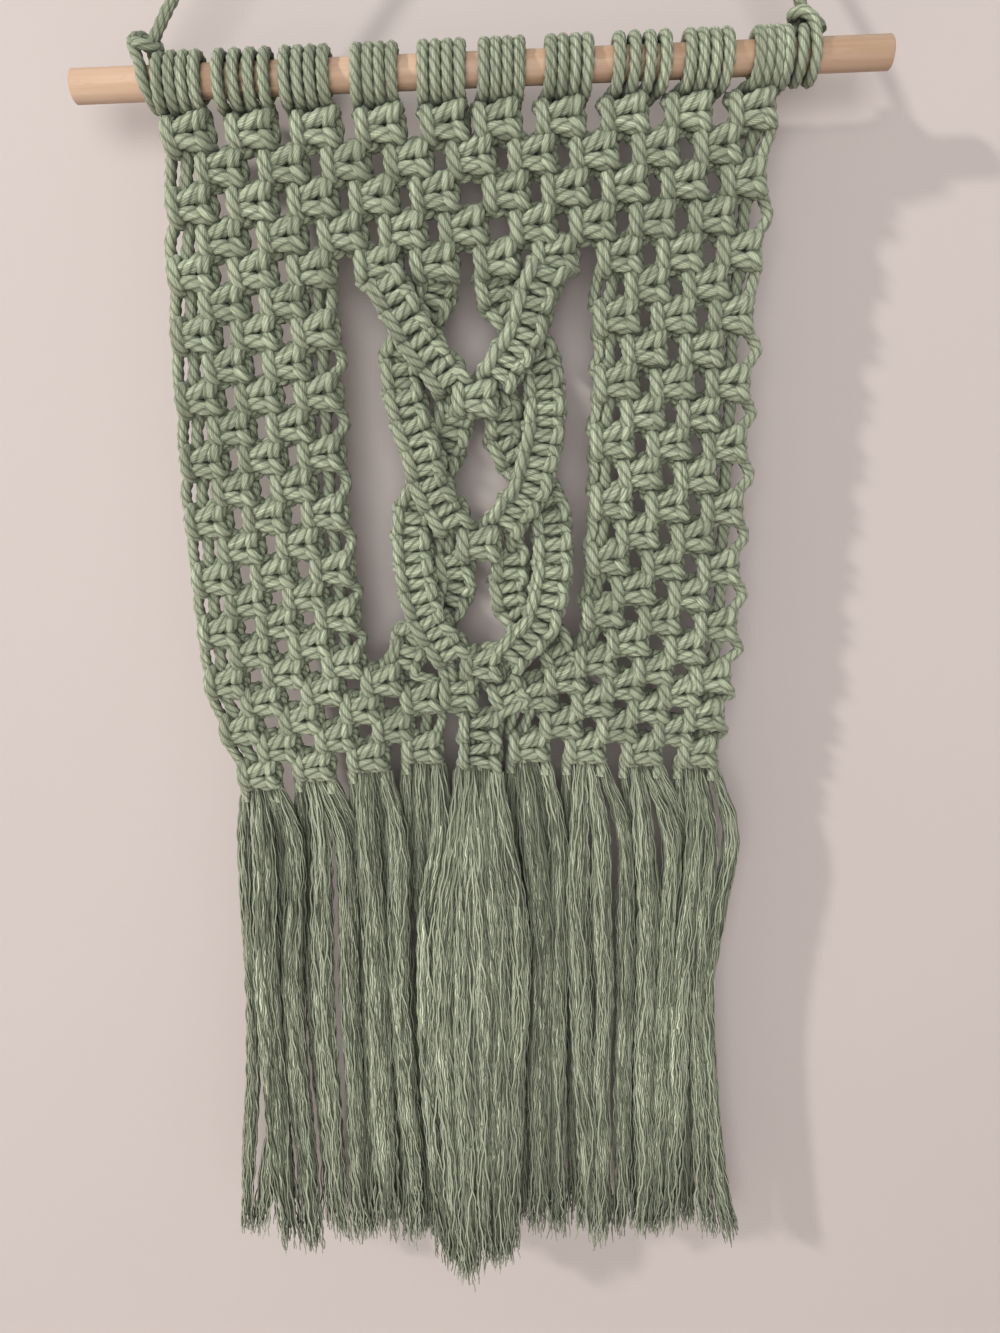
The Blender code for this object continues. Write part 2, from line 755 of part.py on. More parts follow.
def build_hitch(name, turns, knot_x, look):
    """The cord's end: its turns round the rod and the knot that closes them on top."""
    shape = bmesh.new()
    bmesh.ops.create_uvsphere(shape, u_segments=12, v_segments=7, radius=0.5)
    height = DOWEL_DIAMETER / 2 + TOUCHING_GAP + HITCH_KNOT_SIZE[2] / 2 + 0.3
    place = on_dowel(knot_x) + Vector((0.0, 0.0, height))
    bmesh.ops.scale(shape, vec=Vector(HITCH_KNOT_SIZE) * MM, verts=shape.verts)
    bmesh.ops.translate(shape, vec=place * MM, verts=shape.verts)
    hitch = object_from(shape, name, look)
    union(hitch, [hitch_turn(f"{name}_turn_{n}", x, look) for n, x in enumerate(turns)])


def build_hanging_cord(look):
    path, _ = spline([Vector((x, 0.0, z)) for x, z in HANGING_CORD], HANGING_CORD_POINTS)
    curve = bpy.data.curves.new("hanging_cord", "CURVE")
    curve.dimensions = "3D"
    curve.bevel_depth = CORD_DIAMETER / 2 * MM
    curve.bevel_resolution = 2
    curve.use_fill_caps = True
    line = curve.splines.new("POLY")
    line.points.add(len(path) - 1)
    for point, place in zip(line.points, path):
        point.co = (*(place * MM), 1.0)
    add_object("hanging_cord", curve, look)


def main():
    clear_scene()
    green = material("green_cotton", CORD_GREEN, 0.95)
    birch = material("birch", BIRCH, 0.6)
    build_net(green)
    build_fringe(green)
    build_dowel(birch)
    build_hitch("hitch_left", LEFT_HITCH_TURNS, LEFT_HITCH_KNOT, green)
    build_hitch("hitch_right", RIGHT_HITCH_TURNS, RIGHT_HITCH_KNOT, green)
    build_hanging_cord(green)


main()
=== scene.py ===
# %% [markdown]
# # A macrame wall hanging, cord by cord
# Macrame has one material, cord, and few knots. Twenty cords are folded over a birch rod, which gives
# forty strands, and every strand is followed here from the rod down to the fringe. So the model is made
# as the real piece is: first the cord, then the path of each strand through its knots, then the fringe.

import math
import random

import bpy
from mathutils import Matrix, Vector
from mathutils.kdtree import KDTree


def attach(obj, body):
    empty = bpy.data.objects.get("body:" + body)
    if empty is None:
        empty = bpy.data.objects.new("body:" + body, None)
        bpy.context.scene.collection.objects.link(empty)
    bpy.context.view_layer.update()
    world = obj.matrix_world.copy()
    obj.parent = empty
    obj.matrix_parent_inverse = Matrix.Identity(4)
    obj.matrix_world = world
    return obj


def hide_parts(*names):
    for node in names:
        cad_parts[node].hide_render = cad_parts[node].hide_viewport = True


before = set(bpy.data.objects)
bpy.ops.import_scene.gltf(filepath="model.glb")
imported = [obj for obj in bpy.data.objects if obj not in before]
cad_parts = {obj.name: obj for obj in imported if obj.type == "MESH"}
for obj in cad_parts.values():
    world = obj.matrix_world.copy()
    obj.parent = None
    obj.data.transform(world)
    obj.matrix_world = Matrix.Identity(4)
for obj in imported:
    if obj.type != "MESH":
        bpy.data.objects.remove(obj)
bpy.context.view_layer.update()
MM = 0.001

# %% [markdown]
# ## Camera
# The piece is looked at from close by and from a little above its middle, with the camera turned down,
# so it grows narrower towards the fringe. The lens is a short one, which gives that strong perspective.

# %% Place the camera
CAMERA_PLACE = Vector((-3.2, -431.8, -254.8))
CAMERA_DOWN = math.radians(16.5)
LENS, SENSOR, NEAREST = 28.36, 36.0, 10.0


def add_object(name, data):
    """Puts a new object into the scene."""
    made = bpy.data.objects.new(name, data)
    bpy.context.scene.collection.objects.link(made)
    return made


camera_data = bpy.data.cameras.new("camera")
camera_data.lens, camera_data.sensor_width = LENS, SENSOR
camera_data.clip_start = NEAREST * MM
camera = add_object("camera", camera_data)
camera.location = CAMERA_PLACE * MM
camera.rotation_euler = (math.pi / 2 - CAMERA_DOWN, 0.0, 0.0)
bpy.context.scene.camera = camera
print("camera", round(-camera.location.y, 3), "m in front of the piece")

# %% [markdown]
# ## Helpers for node trees
# Both the shapes and the finishes are node trees. A small class adds a node and fills its sockets, either
# with a number or with another node's output, so that each tree below reads like a list of steps.

# %% A tree that grows one node at a time
def socket_of(sockets, name):
    """A socket by its place or by its name, passing over those that the node's options switch off."""
    if isinstance(name, int):
        return sockets[name]
    return next(socket for socket in sockets if socket.name == name and socket.enabled)


class Tree:
    """A shader tree and its input sockets. Most methods add a node and give its first output."""

    KIND = "ShaderNodeTree"

    def __init__(self, nodes, given=None):
        self.nodes, self.given = nodes, given

    def fill(self, node, values):
        """Fills a node's inputs with numbers or with other nodes' outputs."""
        for name, value in values.items():
            socket = socket_of(node.inputs, name)
            if isinstance(value, bpy.types.NodeSocket):
                self.nodes.links.new(value, socket)
            else:
                socket.default_value = value

    def put(self, kind, values=None, **settings):
        """Adds a node and gives the node itself. settings are its options, and values fill its inputs."""
        made = self.nodes.nodes.new(kind)
        for option, value in settings.items():
            setattr(made, option, value)
        self.fill(made, values or {})
        return made

    def shader(self, kind, values=None, **settings):
        return self.put("ShaderNode" + kind, values, **settings).outputs[0]

    def maths(self, operation, *values):
        return self.shader("Math", dict(enumerate(values)), operation=operation)

    def times(self, first, *others):
        """The product of all the values, one node for each step."""
        for other in others:
            first = self.maths("MULTIPLY", first, other)
        return first

    def plus(self, first, second):
        return self.maths("ADD", first, second)

    def minus(self, first, second):
        return self.maths("SUBTRACT", first, second)

    def over(self, first, second):
        return self.maths("DIVIDE", first, second)

    def scaled(self, value, factor, start):
        """value times factor, counted from start."""
        return self.maths("MULTIPLY_ADD", value, factor, start)

    def remap(self, value, low, high, to_low=0.0, to_high=1.0):
        """Stretches the range from low to high over the range from to_low to to_high."""
        numbers = {"Value": value, "From Min": low, "From Max": high, "To Min": to_low, "To Max": to_high}
        return self.shader("MapRange", numbers)

    def vector(self, x, y, z):
        return self.shader("CombineXYZ", {0: x, 1: y, 2: z})

    def stretch(self, vector, factors):
        return self.shader("VectorMath", {0: vector, 1: factors}, operation="MULTIPLY")

    def noise(self, place, scale=1.0, detail=2.0, rough=0.5):
        numbers = {"Vector": place, "Scale": scale, "Detail": detail, "Roughness": rough}
        return self.shader("TexNoise", numbers)

    def mix(self, share, low, high):
        """A colour between two others."""
        colours = {"Factor": share, "A": low, "B": high}
        return self.put("ShaderNodeMix", colours, data_type="RGBA").outputs[2]

    def shade(self, colour, tone):
        """The same colour, darker or lighter."""
        return self.shader("HueSaturation", {"Value": tone, "Color": colour})

    def spot(self):
        """The place on the object."""
        return self.put("ShaderNodeTexCoord").outputs["Object"]


print("node helpers ready")

# %% Start a node group or a finish
def new_group(kind, name, inputs, outputs):
    """A node group with named sockets, {name: (socket type, value)}."""
    nodes = bpy.data.node_groups.new(name, kind.KIND)
    for way, sockets in (("INPUT", inputs), ("OUTPUT", outputs)):
        for label, (socket_type, value) in sockets.items():
            made = nodes.interface.new_socket(label, in_out=way, socket_type="NodeSocket" + socket_type)
            if value is not None:
                made.default_value = value
    return kind(nodes, nodes.nodes.new("NodeGroupInput").outputs)


def new_finish(name):
    """A material, its tree and its shader."""
    made = bpy.data.materials.new(name)
    made.use_nodes = True
    return made, Tree(made.node_tree), made.node_tree.nodes["Principled BSDF"]


print("groups and finishes can be started")

# %% [markdown]
# ## Cotton
# The cord is dyed sage green and matt, and it is spun from many fine yarns. They show as round threads
# side by side, each a little lighter or darker than the next, with painted shade on their sides and in the
# dark line between them.
# On the cord they run along it, and in the combed fringe they keep a crimp. More changes the colour:
# painted shade in the grooves between the cord's four plies, in the crevices where cords lie close and on
# the body of each fringe lock, a fluff in the cotton, and a dye that is a little patchy. Cords and fringe
# share all this, so it is one shader group with its own values in each material.
# The yarns follow the cord through an attribute that the cord's own tree writes: a point on a circle,
# which tells the place around the cord, and the distance along it.

# %% The cotton group
def cotton_group():
    inputs = {
        "Fibre Place": ("Vector", None),
        # Groove brings painted shade for the ply valleys and the lock bodies, and a random tone for the
        # fringe's yarns.
        "Groove": ("Float", 1.0),
        "Light Colour": ("Color", (0.40, 0.47, 0.32, 1.0)),
        "Shade and Dark Tone Colour": ("Color", (0.12, 0.15, 0.08, 1.0)),
        "Yarns Around": ("Float", 18.0),
        "Crimp Length": ("Float", 9.0 * MM),
        "Crimp Width": ("Float", 0.0),
        "Wander": ("Float", 2.5),
        "Gap Shade": ("Float", 0.5),
        "Streaks": ("Float", 0.0),
        "Crevice Depth": ("Float", 4.0 * MM),
        "Crevice Light": ("Float", 0.75),
    }
    outputs = {"Colour": ("Color", None), "Height": ("Float", None), "Roughness": ("Float", None)}
    tree = new_group(Tree, "cotton_yarns", inputs, outputs)
    given, spot = tree.given, tree.spot()
    fibre = given["Fibre Place"]
    x, y, along = tree.put("ShaderNodeSeparateXYZ", {0: fibre}).outputs
    around = tree.over(tree.maths("ARCTAN2", y, x), math.tau)

    # Each yarn strays a little from its place around the cord, and in the fringe it has a crimp as well.
    wander = tree.minus(tree.noise(tree.stretch(fibre, (2.5, 2.5, 110.0)), detail=1.0, rough=0.6), 0.5)
    wave = tree.over(tree.times(along, math.tau), given["Crimp Length"])
    wave = tree.maths("SINE", tree.scaled(wander, 6.0, wave))
    flat = {0: tree.stretch(fibre, (1.0, 1.0, 0.0))}
    radius = tree.put("ShaderNodeVectorMath", flat, operation="LENGTH").outputs[1]
    strayed = tree.scaled(wander, given["Wander"], tree.times(given["Crimp Width"], radius, wave))
    count = tree.scaled(around, given["Yarns Around"], strayed)
    lot = tree.shader("TexWhiteNoise", {"W": tree.maths("FLOOR", count)}, noise_dimensions="1D")
    across = tree.scaled(tree.maths("FRACT", count), 2.0, -1.0)
    round_top = tree.minus(1.0, tree.maths("POWER", tree.maths("ABSOLUTE", across), 2.4))

    # What darkens the colour: painted shade on the yarns' sides, in the gaps between yarns, in the grooves
    # and in the crevices, and the cotton's own darker yarns, fluff and streaks.
    patches, fluff = tree.noise(spot, 16.0, rough=0.6), tree.noise(spot, 1100.0, rough=0.6)
    # Painted shade: darker at each yarn's sides and in the gap between yarns, broken up by the fluff.
    broken = tree.times(given["Gap Shade"], tree.remap(fluff, 0.3, 0.7, 0.6, 1.3))
    gap_shade = tree.times(tree.minus(1.0, round_top), broken)
    streak = tree.noise(tree.stretch(fibre, (7.0, 7.0, 40.0)), rough=0.6)
    dark = tree.times(tree.remap(streak, 0.60, 0.40), given["Streaks"])
    # Painted shade in crevices: ambient occlusion darkens the colour where cords and yarns lie close.
    reached = {"Distance": given["Crevice Depth"]}
    open_sky = tree.put("ShaderNodeAmbientOcclusion", reached, samples=4).outputs["AO"]
    # The colour runs towards the dark one with painted shade (grooves, gaps, crevices, lock bodies) and
    # with the cotton's own tone (darker yarns, fluff, streaks).
    shade_and_tone = tree.times(
        tree.remap(given["Groove"], 0.0, 0.5, 0.30, 1.0),
        tree.minus(1.0, gap_shade),
        tree.remap(lot, 0.0, 1.0, 0.62, 1.10),
        tree.remap(fluff, 0.25, 0.75, 0.86, 1.10),
        tree.minus(1.0, dark),
        tree.remap(open_sky, 0.15, given["Crevice Light"], 0.15, 1.0),
    )
    colour = tree.mix(shade_and_tone, given["Shade and Dark Tone Colour"], given["Light Colour"])
    colour = tree.shade(colour, tree.remap(patches, 0.3, 0.7, 0.88, 1.10))
    height = tree.scaled(fluff, 0.35, round_top)
    rough = tree.remap(fluff, 0.0, 1.0, 0.84, 0.98)
    tree.put("NodeGroupOutput", {"Colour": colour, "Height": height, "Roughness": rough})
    return tree.nodes


COTTON = cotton_group()
print("cotton group:", len(COTTON.nodes), "nodes")

# %% Two cotton finishes: the twisted cord and the combed fringe
def cotton_finish(name, values, relief):
    """The cotton with its own values. relief is how far the yarns stand out, in millimetres."""
    made, tree, shader = new_finish(name)
    fibre = tree.put("ShaderNodeAttribute", attribute_name="fibre").outputs["Vector"]
    groove = tree.put("ShaderNodeAttribute", attribute_name="groove").outputs["Fac"]
    values = {"Fibre Place": fibre, "Groove": groove, **values}
    colour, height, rough = tree.put("ShaderNodeGroup", values, node_tree=COTTON).outputs
    raised = {"Strength": 0.8, "Distance": relief * MM, "Height": height}
    tree.fill(shader, {"Base Color": colour, "Roughness": rough, "Normal": tree.shader("Bump", raised)})
    tree.fill(shader, {"Specular IOR Level": 0.15, "Sheen Weight": 0.2, "Sheen Roughness": 0.5})
    tree.fill(shader, {"Sheen Tint": (0.80, 0.86, 0.70, 1.0)})
    return made


CORD_YARNS = {
    "Light Colour": (0.475, 0.529, 0.376, 1.0),
    "Shade and Dark Tone Colour": (0.030, 0.036, 0.020, 1.0),
    "Yarns Around": 20.0,
    "Gap Shade": 0.42,
    "Streaks": 0.30,
    "Crevice Depth": 5.0 * MM,
    "Crevice Light": 0.86,
}
FRINGE_YARNS = {
    "Light Colour": (0.65, 0.71, 0.52, 1.0),
    "Shade and Dark Tone Colour": CORD_YARNS["Shade and Dark Tone Colour"],
    "Yarns Around": 27.0,
    "Crimp Width": 0.3,
    "Wander": 1.0,
    "Gap Shade": 1.0,
    "Streaks": 0.90,
    "Crevice Depth": 9.0 * MM,
    "Crevice Light": 0.92,
}
CORD_FINISH = cotton_finish("green_cotton_cord", CORD_YARNS, 0.20)
FRINGE_FINISH = cotton_finish("green_cotton_fringe", FRINGE_YARNS, 0.5)
print("finishes:", CORD_FINISH.name, FRINGE_FINISH.name)

# %% [markdown]
# ## Twisted cord
# The cord is four plies laid together: on a hanging cord the grooves between them run down to the
# right. A round tube with a pattern would have a smooth outline, so the grooves are real here. Geometry
# Nodes sweeps a four-lobed outline along a line and turns it steadily as it goes. One tree then makes
# every cord of the piece, whatever its route, and its diameter and twist are named inputs.

# %% Steps that the shapes share
class ShapeTree(Tree):
    """A Geometry Nodes tree."""

    KIND = "GeometryNodeTree"

    def shape(self, kind, values=None, **settings):
        return self.put("GeometryNode" + kind, values, **settings).outputs[0]

    def store(self, geometry, name, value, kind="FLOAT"):
        """Stores a named attribute."""
        marked = {"Geometry": geometry, "Name": name, "Value": value}
        return self.shape("StoreNamedAttribute", marked, data_type=kind, domain="POINT")

    def recall(self, name):
        """Reads a named number back."""
        return self.shape("InputNamedAttribute", {"Name": name}, data_type="FLOAT")

    def move(self, geometry, direction, distance=1.0):
        moved = self.shader("VectorMath", {0: direction, "Scale": distance}, operation="SCALE")
        return self.shape("SetPosition", {"Geometry": geometry, "Offset": moved})

    def ring(self, corners):
        """An outline with a radius of 1."""
        return self.shape("CurvePrimitiveCircle", {"Resolution": corners, "Radius": 1.0}, mode="RADIUS")

    def sweep(self, line, outline, thick):
        swept = {"Curve": line, "Profile Curve": outline, "Scale": thick, "Fill Caps": True}
        return self.shape("CurveToMesh", swept)

    def mark_fibres(self, mesh, angle, along):
        """Stores the place around, as a point on a circle, and the distance along."""
        place = self.vector(self.maths("COSINE", angle), self.maths("SINE", angle), along)
        return self.store(mesh, "fibre", place, "FLOAT_VECTOR")

    def finish(self, mesh, output):
        """Ends the tree with a smooth, real mesh that has its finish."""
        mesh = self.shape("SetShadeSmooth", {"Geometry": mesh})
        mesh = self.shape("RealizeInstances", {"Geometry": mesh})
        mesh = self.shape("SetMaterial", {"Geometry": mesh, "Material": self.given["Finish"]})
        self.put("NodeGroupOutput", {output: mesh})


print("shape helpers ready")

# %% The cord's tree
CORD_DIAMETER = 4.6
TWIST_LENGTH = 16.5
RING_SPACING = 1.2
PLIES = 4


def cord_tree():
    inputs = {
        "Line": ("Geometry", None),
        "Radius": ("Float", CORD_DIAMETER / 2 * MM),
        "Twist Length": ("Float", TWIST_LENGTH * MM),
        "Ring Spacing": ("Float", RING_SPACING * MM),
        "Groove Depth": ("Float", 0.17),
        "Finish": ("Material", None),
    }
    tree = new_group(ShapeTree, "twisted_cord", inputs, {"Cord": ("Geometry", None)})
    given = tree.given

    def turned(along):
        return tree.over(tree.times(along, -math.tau), given["Twist Length"])

    spaced = {"Curve": given["Line"], "Length": given["Ring Spacing"]}
    line = tree.shape("ResampleCurve", spaced, mode="LENGTH")
    length = tree.put("GeometryNodeSplineParameter").outputs["Length"]
    line = tree.store(line, "along", length)
    line = tree.shape("SetCurveTilt", {"Curve": line, "Tilt": turned(length)})

    # Every second corner of the outline is a groove between two plies.
    index = tree.shape("InputIndex")
    groove = tree.maths("MODULO", index, 2.0)
    outline = tree.store(tree.ring(2 * PLIES), "around", tree.times(index, math.pi / PLIES))
    # The groove attribute is 1 on a ply and 0 in a valley, and the finish paints shade into the valleys
    # from it.
    outline = tree.store(outline, "groove", tree.minus(1.0, groove))
    sunk = tree.times(groove, tree.times(given["Groove Depth"], -1.0))
    outline = tree.move(outline, tree.shape("InputPosition"), sunk)

    mesh = tree.sweep(line, outline, tree.times(given["Radius"], tree.shape("InputRadius")))
    along = tree.recall("along")
    mesh = tree.mark_fibres(mesh, tree.plus(tree.recall("around"), turned(along)), along)
    tree.finish(mesh, "Cord")
    return tree.nodes


CORD_TREE = cord_tree()
print("cord tree:", len(CORD_TREE.nodes), "nodes")

# %% Sweep a tree along some lines and keep the plain mesh
def lines_object(name, lines, radii=None):
    """A curve object with one open line for each list of points, in millimetres, and their radii."""
    data = bpy.data.curves.new(name, "CURVE")
    data.dimensions = "3D"
    for number, points in enumerate(lines):
        line = data.splines.new("POLY")
        line.points.add(len(points) - 1)
        line.points.foreach_set("co", [c for point in points for c in (*(point * MM), 1.0)])
        if radii:
            line.points.foreach_set("radius", radii[number])
    return add_object(name + "_lines", data)


def run_tree(host, tree, name, numbers):
    """Runs a tree on its host with these inputs, keeps the result as a plain mesh and drops the host."""
    modifier = host.modifiers.new(tree.name, "NODES")
    modifier.node_group = tree
    for item in tree.interface.items_tree:
        if item.in_out == "INPUT" and item.name in numbers:
            modifier[item.identifier] = numbers[item.name]
    graph = bpy.context.evaluated_depsgraph_get()
    mesh = bpy.data.meshes.new_from_object(
        host.evaluated_get(graph), preserve_all_data_layers=True, depsgraph=graph
    )
    host.modifiers.clear()
    bpy.data.objects.remove(host)
    mesh.name = name
    print(f"{name}: {sum(len(face.vertices) - 2 for face in mesh.polygons)} triangles")
    return add_object(name, mesh)


print("a tree can be run along any lines")

# %% Smooth a line and measure it
def smooth(points, steps=6):
    """A line through every point that doesn't overshoot where they lie unevenly (Catmull-Rom)."""
    ends = [2 * points[0] - points[1], *points, 2 * points[-1] - points[-2]]
    made = []
    for a, b, c, d in zip(ends, ends[1:], ends[2:], ends[3:]):
        knots = [0.0]
        for p, q in ((a, b), (b, c), (c, d)):
            knots.append(knots[-1] + max(math.sqrt((q - p).length), 1e-3))
        ka, kb, kc, kd = knots
        for n in range(steps):
            t = kb + (kc - kb) * n / steps
            ab = a + (b - a) * ((t - ka) / (kb - ka))
            bc = b + (c - b) * ((t - kb) / (kc - kb))
            cd = c + (d - c) * ((t - kc) / (kd - kc))
            abc = ab + (bc - ab) * ((t - ka) / (kc - ka))
            bcd = bc + (cd - bc) * ((t - kb) / (kd - kb))
            made.append(abc + (bcd - abc) * ((t - kb) / (kc - kb)))
    made.append(points[-1].copy())
    return made


def length_of(line):
    return sum((q - p).length for p, q in zip(line, line[1:]))


print("line helpers ready")

# %% [markdown]
# ## Hanging cord
# One cord is tied near each end of the rod and hangs over a hook, whose place is the origin. The
# piece's weight pulls it straight on both sides, so its route is two straight runs and a short bend.

# %% Make the hanging cord, from (across, up) points
HANGING_CORD = (
    (-130.0, -145.4), (-122.5, -133.2), (-99.0, -101.5), (-68.0, -64.2), (-34.5, -26.2),
    (-12.0, -3.6), (0.0, 2.3), (10.6, -3.6), (28.5, -27.5), (55.0, -61.5),
    (80.0, -93.5), (99.6, -122.0), (106.1, -133.9),
)
hanging_line = smooth([Vector((x, 0.0, z)) for x, z in HANGING_CORD])
cord_host = lines_object("hanging_cord", [hanging_line])
hanging_cord = run_tree(cord_host, CORD_TREE, "hanging_cord_twisted", {"Finish": CORD_FINISH})
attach(hanging_cord, "root")
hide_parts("hanging_cord")
print("hanging cord", round(length_of(hanging_line), 1), "mm long")

# %% [markdown]
# ## The square knot
# A square knot has four strands. The two in the middle are fillers and hang straight. The left one
# crosses in front to the right and comes back lower down, which makes two bars. The right one goes
# behind, and comes forward on the left as an upright bump over both bars. Each path is a short list of
# points for the upper half of the knot, and the lower half is its mirror image.

# %% Paths through one knot: across, up, and depth behind the middle, in millimetres
LEFT_STRAND = (
    (-8.2, 5.2, 0.2), (-6.6, 3.3, -1.6), (-4.0, 1.9, -3.9), (-0.6, 2.6, -4.5),
    (2.6, 3.7, -4.6), (5.2, 4.8, -3.2), (7.0, 4.0, -0.6), (7.8, 0.0, 0.9),
)
RIGHT_STRAND = (
    (7.9, 6.0, -2.2), (6.8, 4.3, -5.6), (5.6, 2.5, -5.0), (4.9, 1.9, -1.6),
    (4.0, 1.9, 2.2), (1.0, 2.4, 4.5), (-2.6, 2.8, 4.2), (-4.9, 4.3, 1.8),
    (-5.9, 5.0, -1.8), (-6.5, 3.4, -5.2), (-6.7, 0.0, -6.2),
)
# In a chain the knots are pushed close together, so their bars lie nearly level.
CHAIN_LEFT_STRAND = (
    (-8.2, 5.2, 0.2), (-6.8, 3.7, -1.6), (-4.0, 2.5, -3.9), (-0.6, 2.6, -4.6),
    (2.6, 2.9, -4.7), (5.2, 3.3, -3.3), (7.0, 2.8, -0.6), (7.8, 0.0, 0.9),
)
# The fillers hang this far to either side of the middle, through these (up, depth) points.
FILLER_APART = 1.95
FILLER = ((5.2, 0.2), (0.0, 0.0))
# How wide, high and deep a knot of the net is drawn.
NET_SIZE = (0.92, 1.0, 1.0)


def whole_path(upper):
    """The path down one side of a knot: its upper half, and that half's mirror image."""
    return [*upper, *((across, -up, depth) for across, up, depth in reversed(upper[:-1]))]


def knot_paths(left_strand):
    """The paths of a knot's four strands, counted from the left."""
    fillers = [[(side, *rest) for rest in FILLER] for side in (-FILLER_APART, FILLER_APART)]
    return [whole_path(upper) for upper in (left_strand, *fillers, RIGHT_STRAND)]


NET_KNOT, CHAIN_KNOT = knot_paths(LEFT_STRAND), knot_paths(CHAIN_LEFT_STRAND)
print("points in each path:", [len(path) for path in NET_KNOT])

# %% Tie a knot somewhere
class Knot:
    """Where a knot lies, how it is turned, and how wide, high and deep it is drawn."""

    def __init__(self, place, down=Vector((0.0, 0.0, -1.0)), turn=0.0, size=NET_SIZE, paths=NET_KNOT):
        self.place, self.size, self.paths = place, size, paths
        along = Vector((down.x, 0.0, down.z)).normalized()
        across = Vector((-along.z, 0.0, along.x))
        self.across = across * math.cos(turn) - along * math.sin(turn)
        self.up = -along * math.cos(turn) - across * math.sin(turn)

    def point(self, across, up, depth):
        wide, high, deep = self.size
        flat = self.across * (across * wide) + self.up * (up * high)
        return self.place + flat + Vector((0.0, depth * deep, 0.0))

    def strand(self, role):
        return [self.point(*spot) for spot in self.paths[role]]


print("knots are tied with Knot(place).strand(role)")

# %% [markdown]
# ## Where the knots are
# The net is made of alternating rows: each knot takes two strands from each knot above it. The rows are
# a little uneven, as hand work is, so every second row is stored with its own ends, pitch and slope, and
# a row between two others lies halfway. From row six on, the net parts into two side panels.

# %% The net's rows
ROWS = {
    # row: (left x, left z, pitch, rise, right x, right z, pitch, rise)
    1: (-119.1, -176.4, 23.8, 0.9, 89.4, -168.4, 23.5, -0.9),
    3: (-119.7, -201.0, 22.9, 1.1, 87.7, -191.7, 22.2, -1.1),
    5: (-121.3, -225.3, 22.9, 0.9, 87.6, -216.8, 22.7, -0.9),
    7: (-122.0, -247.5, 23.4, 0.9, 85.8, -239.9, 22.1, -0.3),
    9: (-122.5, -271.7, 23.6, 1.2, 86.3, -265.5, 22.0, 0.3),
    11: (-122.6, -296.2, 23.6, 1.7, 86.5, -289.4, 22.5, 0.8),
    13: (-122.8, -319.9, 23.9, 1.7, 87.0, -314.6, 22.6, 1.3),
    15: (-121.8, -344.1, 24.4, 2.2, 86.9, -339.1, 23.0, 1.9),
    17: (-121.4, -366.6, 24.8, 3.5, 87.3, -363.5, 23.9, 2.8),
    19: (-120.3, -389.1, 25.2, 4.5, 86.4, -386.6, 24.6, 3.6),
    21: (-115.5, -410.4, 26.2, 4.8, 84.4, -403.4, 24.1, 2.9),
    23: (-109.0, -431.1, 23.9, 4.2, 82.6, -420.5, 24.5, 0.9),
}
# The first rows run right across. After row 19 each panel takes in the four strands of its inner sinnet.
COLUMNS, LAST_SHARED_ROW, LAST_SPLIT_ROW, LAST_ROW = 10, 5, 19, 23


def row_point(side, row, column):
    if row % 2 == 0:
        above, below = row_point(side, row - 1, column), row_point(side, row + 1, column)
        return (above[0] + below[0]) / 2, (above[1] + below[1]) / 2
    left_x, left_z, left_pitch, left_rise, right_x, right_z, right_pitch, right_rise = ROWS[row]
    if side == "left":
        return left_x + (column - 1) * left_pitch, left_z + (column - 1) * left_rise
    return right_x - (COLUMNS - column) * right_pitch, right_z + (COLUMNS - column) * right_rise


def knot_for(position, row):
    """(column, role) of the knot that takes the strand at this position, or None where it hangs past."""
    if row % 2:
        return (position - 1) // 4 + 1.0, (position - 1) % 4
    past = {1, 2, 39, 40}
    if row > LAST_SPLIT_ROW:
        past |= {15, 16, 25, 26}
    elif row > LAST_SHARED_ROW:
        past |= {11, 12, 29, 30}
    return None if position in past else ((position - 3) // 4 + 1.5, (position - 3) % 4)


print("row 10 starts with a knot at", row_point("left", 10, 1.5))

# %% [markdown]
# ## The four sinnets
# A sinnet is a flat chain of square knots that always uses the same two working strands. Four of them
# hang between the side panels. The outer two cross in front, part, and meet again, and the inner two
# pass behind, so each route has a depth as well. Where two sinnets meet, one knot ties them together
# with two strands from each.

# %% The sinnets' routes and the knots that join them
SINNETS = {
    # name: ((x, z), ...)
    "outer_left": (
        (-50.0, -221.5), (-42.8, -234.8), (-33.0, -251.4), (-22.4, -266.8), (-22.6, -281.7),
        (-26.5, -293.5), (-34.0, -307.4), (-38.9, -319.5), (-39.2, -329.8), (-36.8, -347.8),
        (-32.4, -361.4), (-25.2, -373.5), (-21.4, -384.0), (-20.9, -394.0),
    ),
    "inner_left": (
        (-28.6, -221.2), (-28.5, -231.2), (-34.9, -244.0), (-41.4, -254.0), (-41.5, -266.4),
        (-38.4, -279.8), (-34.4, -291.5), (-30.8, -305.4), (-22.5, -321.5), (-22.6, -336.0),
        (-22.2, -349.4), (-32.6, -364.9), (-40.5, -371.5), (-43.5, -378.5),
    ),
    "inner_right": (
        (-4.6, -219.8), (-4.3, -231.2), (4.6, -244.0), (11.8, -256.0), (14.4, -270.2),
        (13.9, -283.7), (11.4, -295.4), (7.4, -308.2), (-1.0, -321.5), (1.3, -338.5),
        (1.2, -352.8), (10.4, -366.6), (18.8, -371.5), (22.5, -378.0),
    ),
    "outer_right": (
        (17.6, -218.3), (11.2, -230.9), (5.2, -248.8), (-3.8, -263.7), (-1.6, -277.9),
        (0.2, -289.5), (9.2, -303.4), (16.6, -315.4), (18.4, -329.8), (17.3, -346.5),
        (12.2, -363.3), (2.2, -374.9), (-3.4, -384.0), (0.6, -394.0),
    ),
}
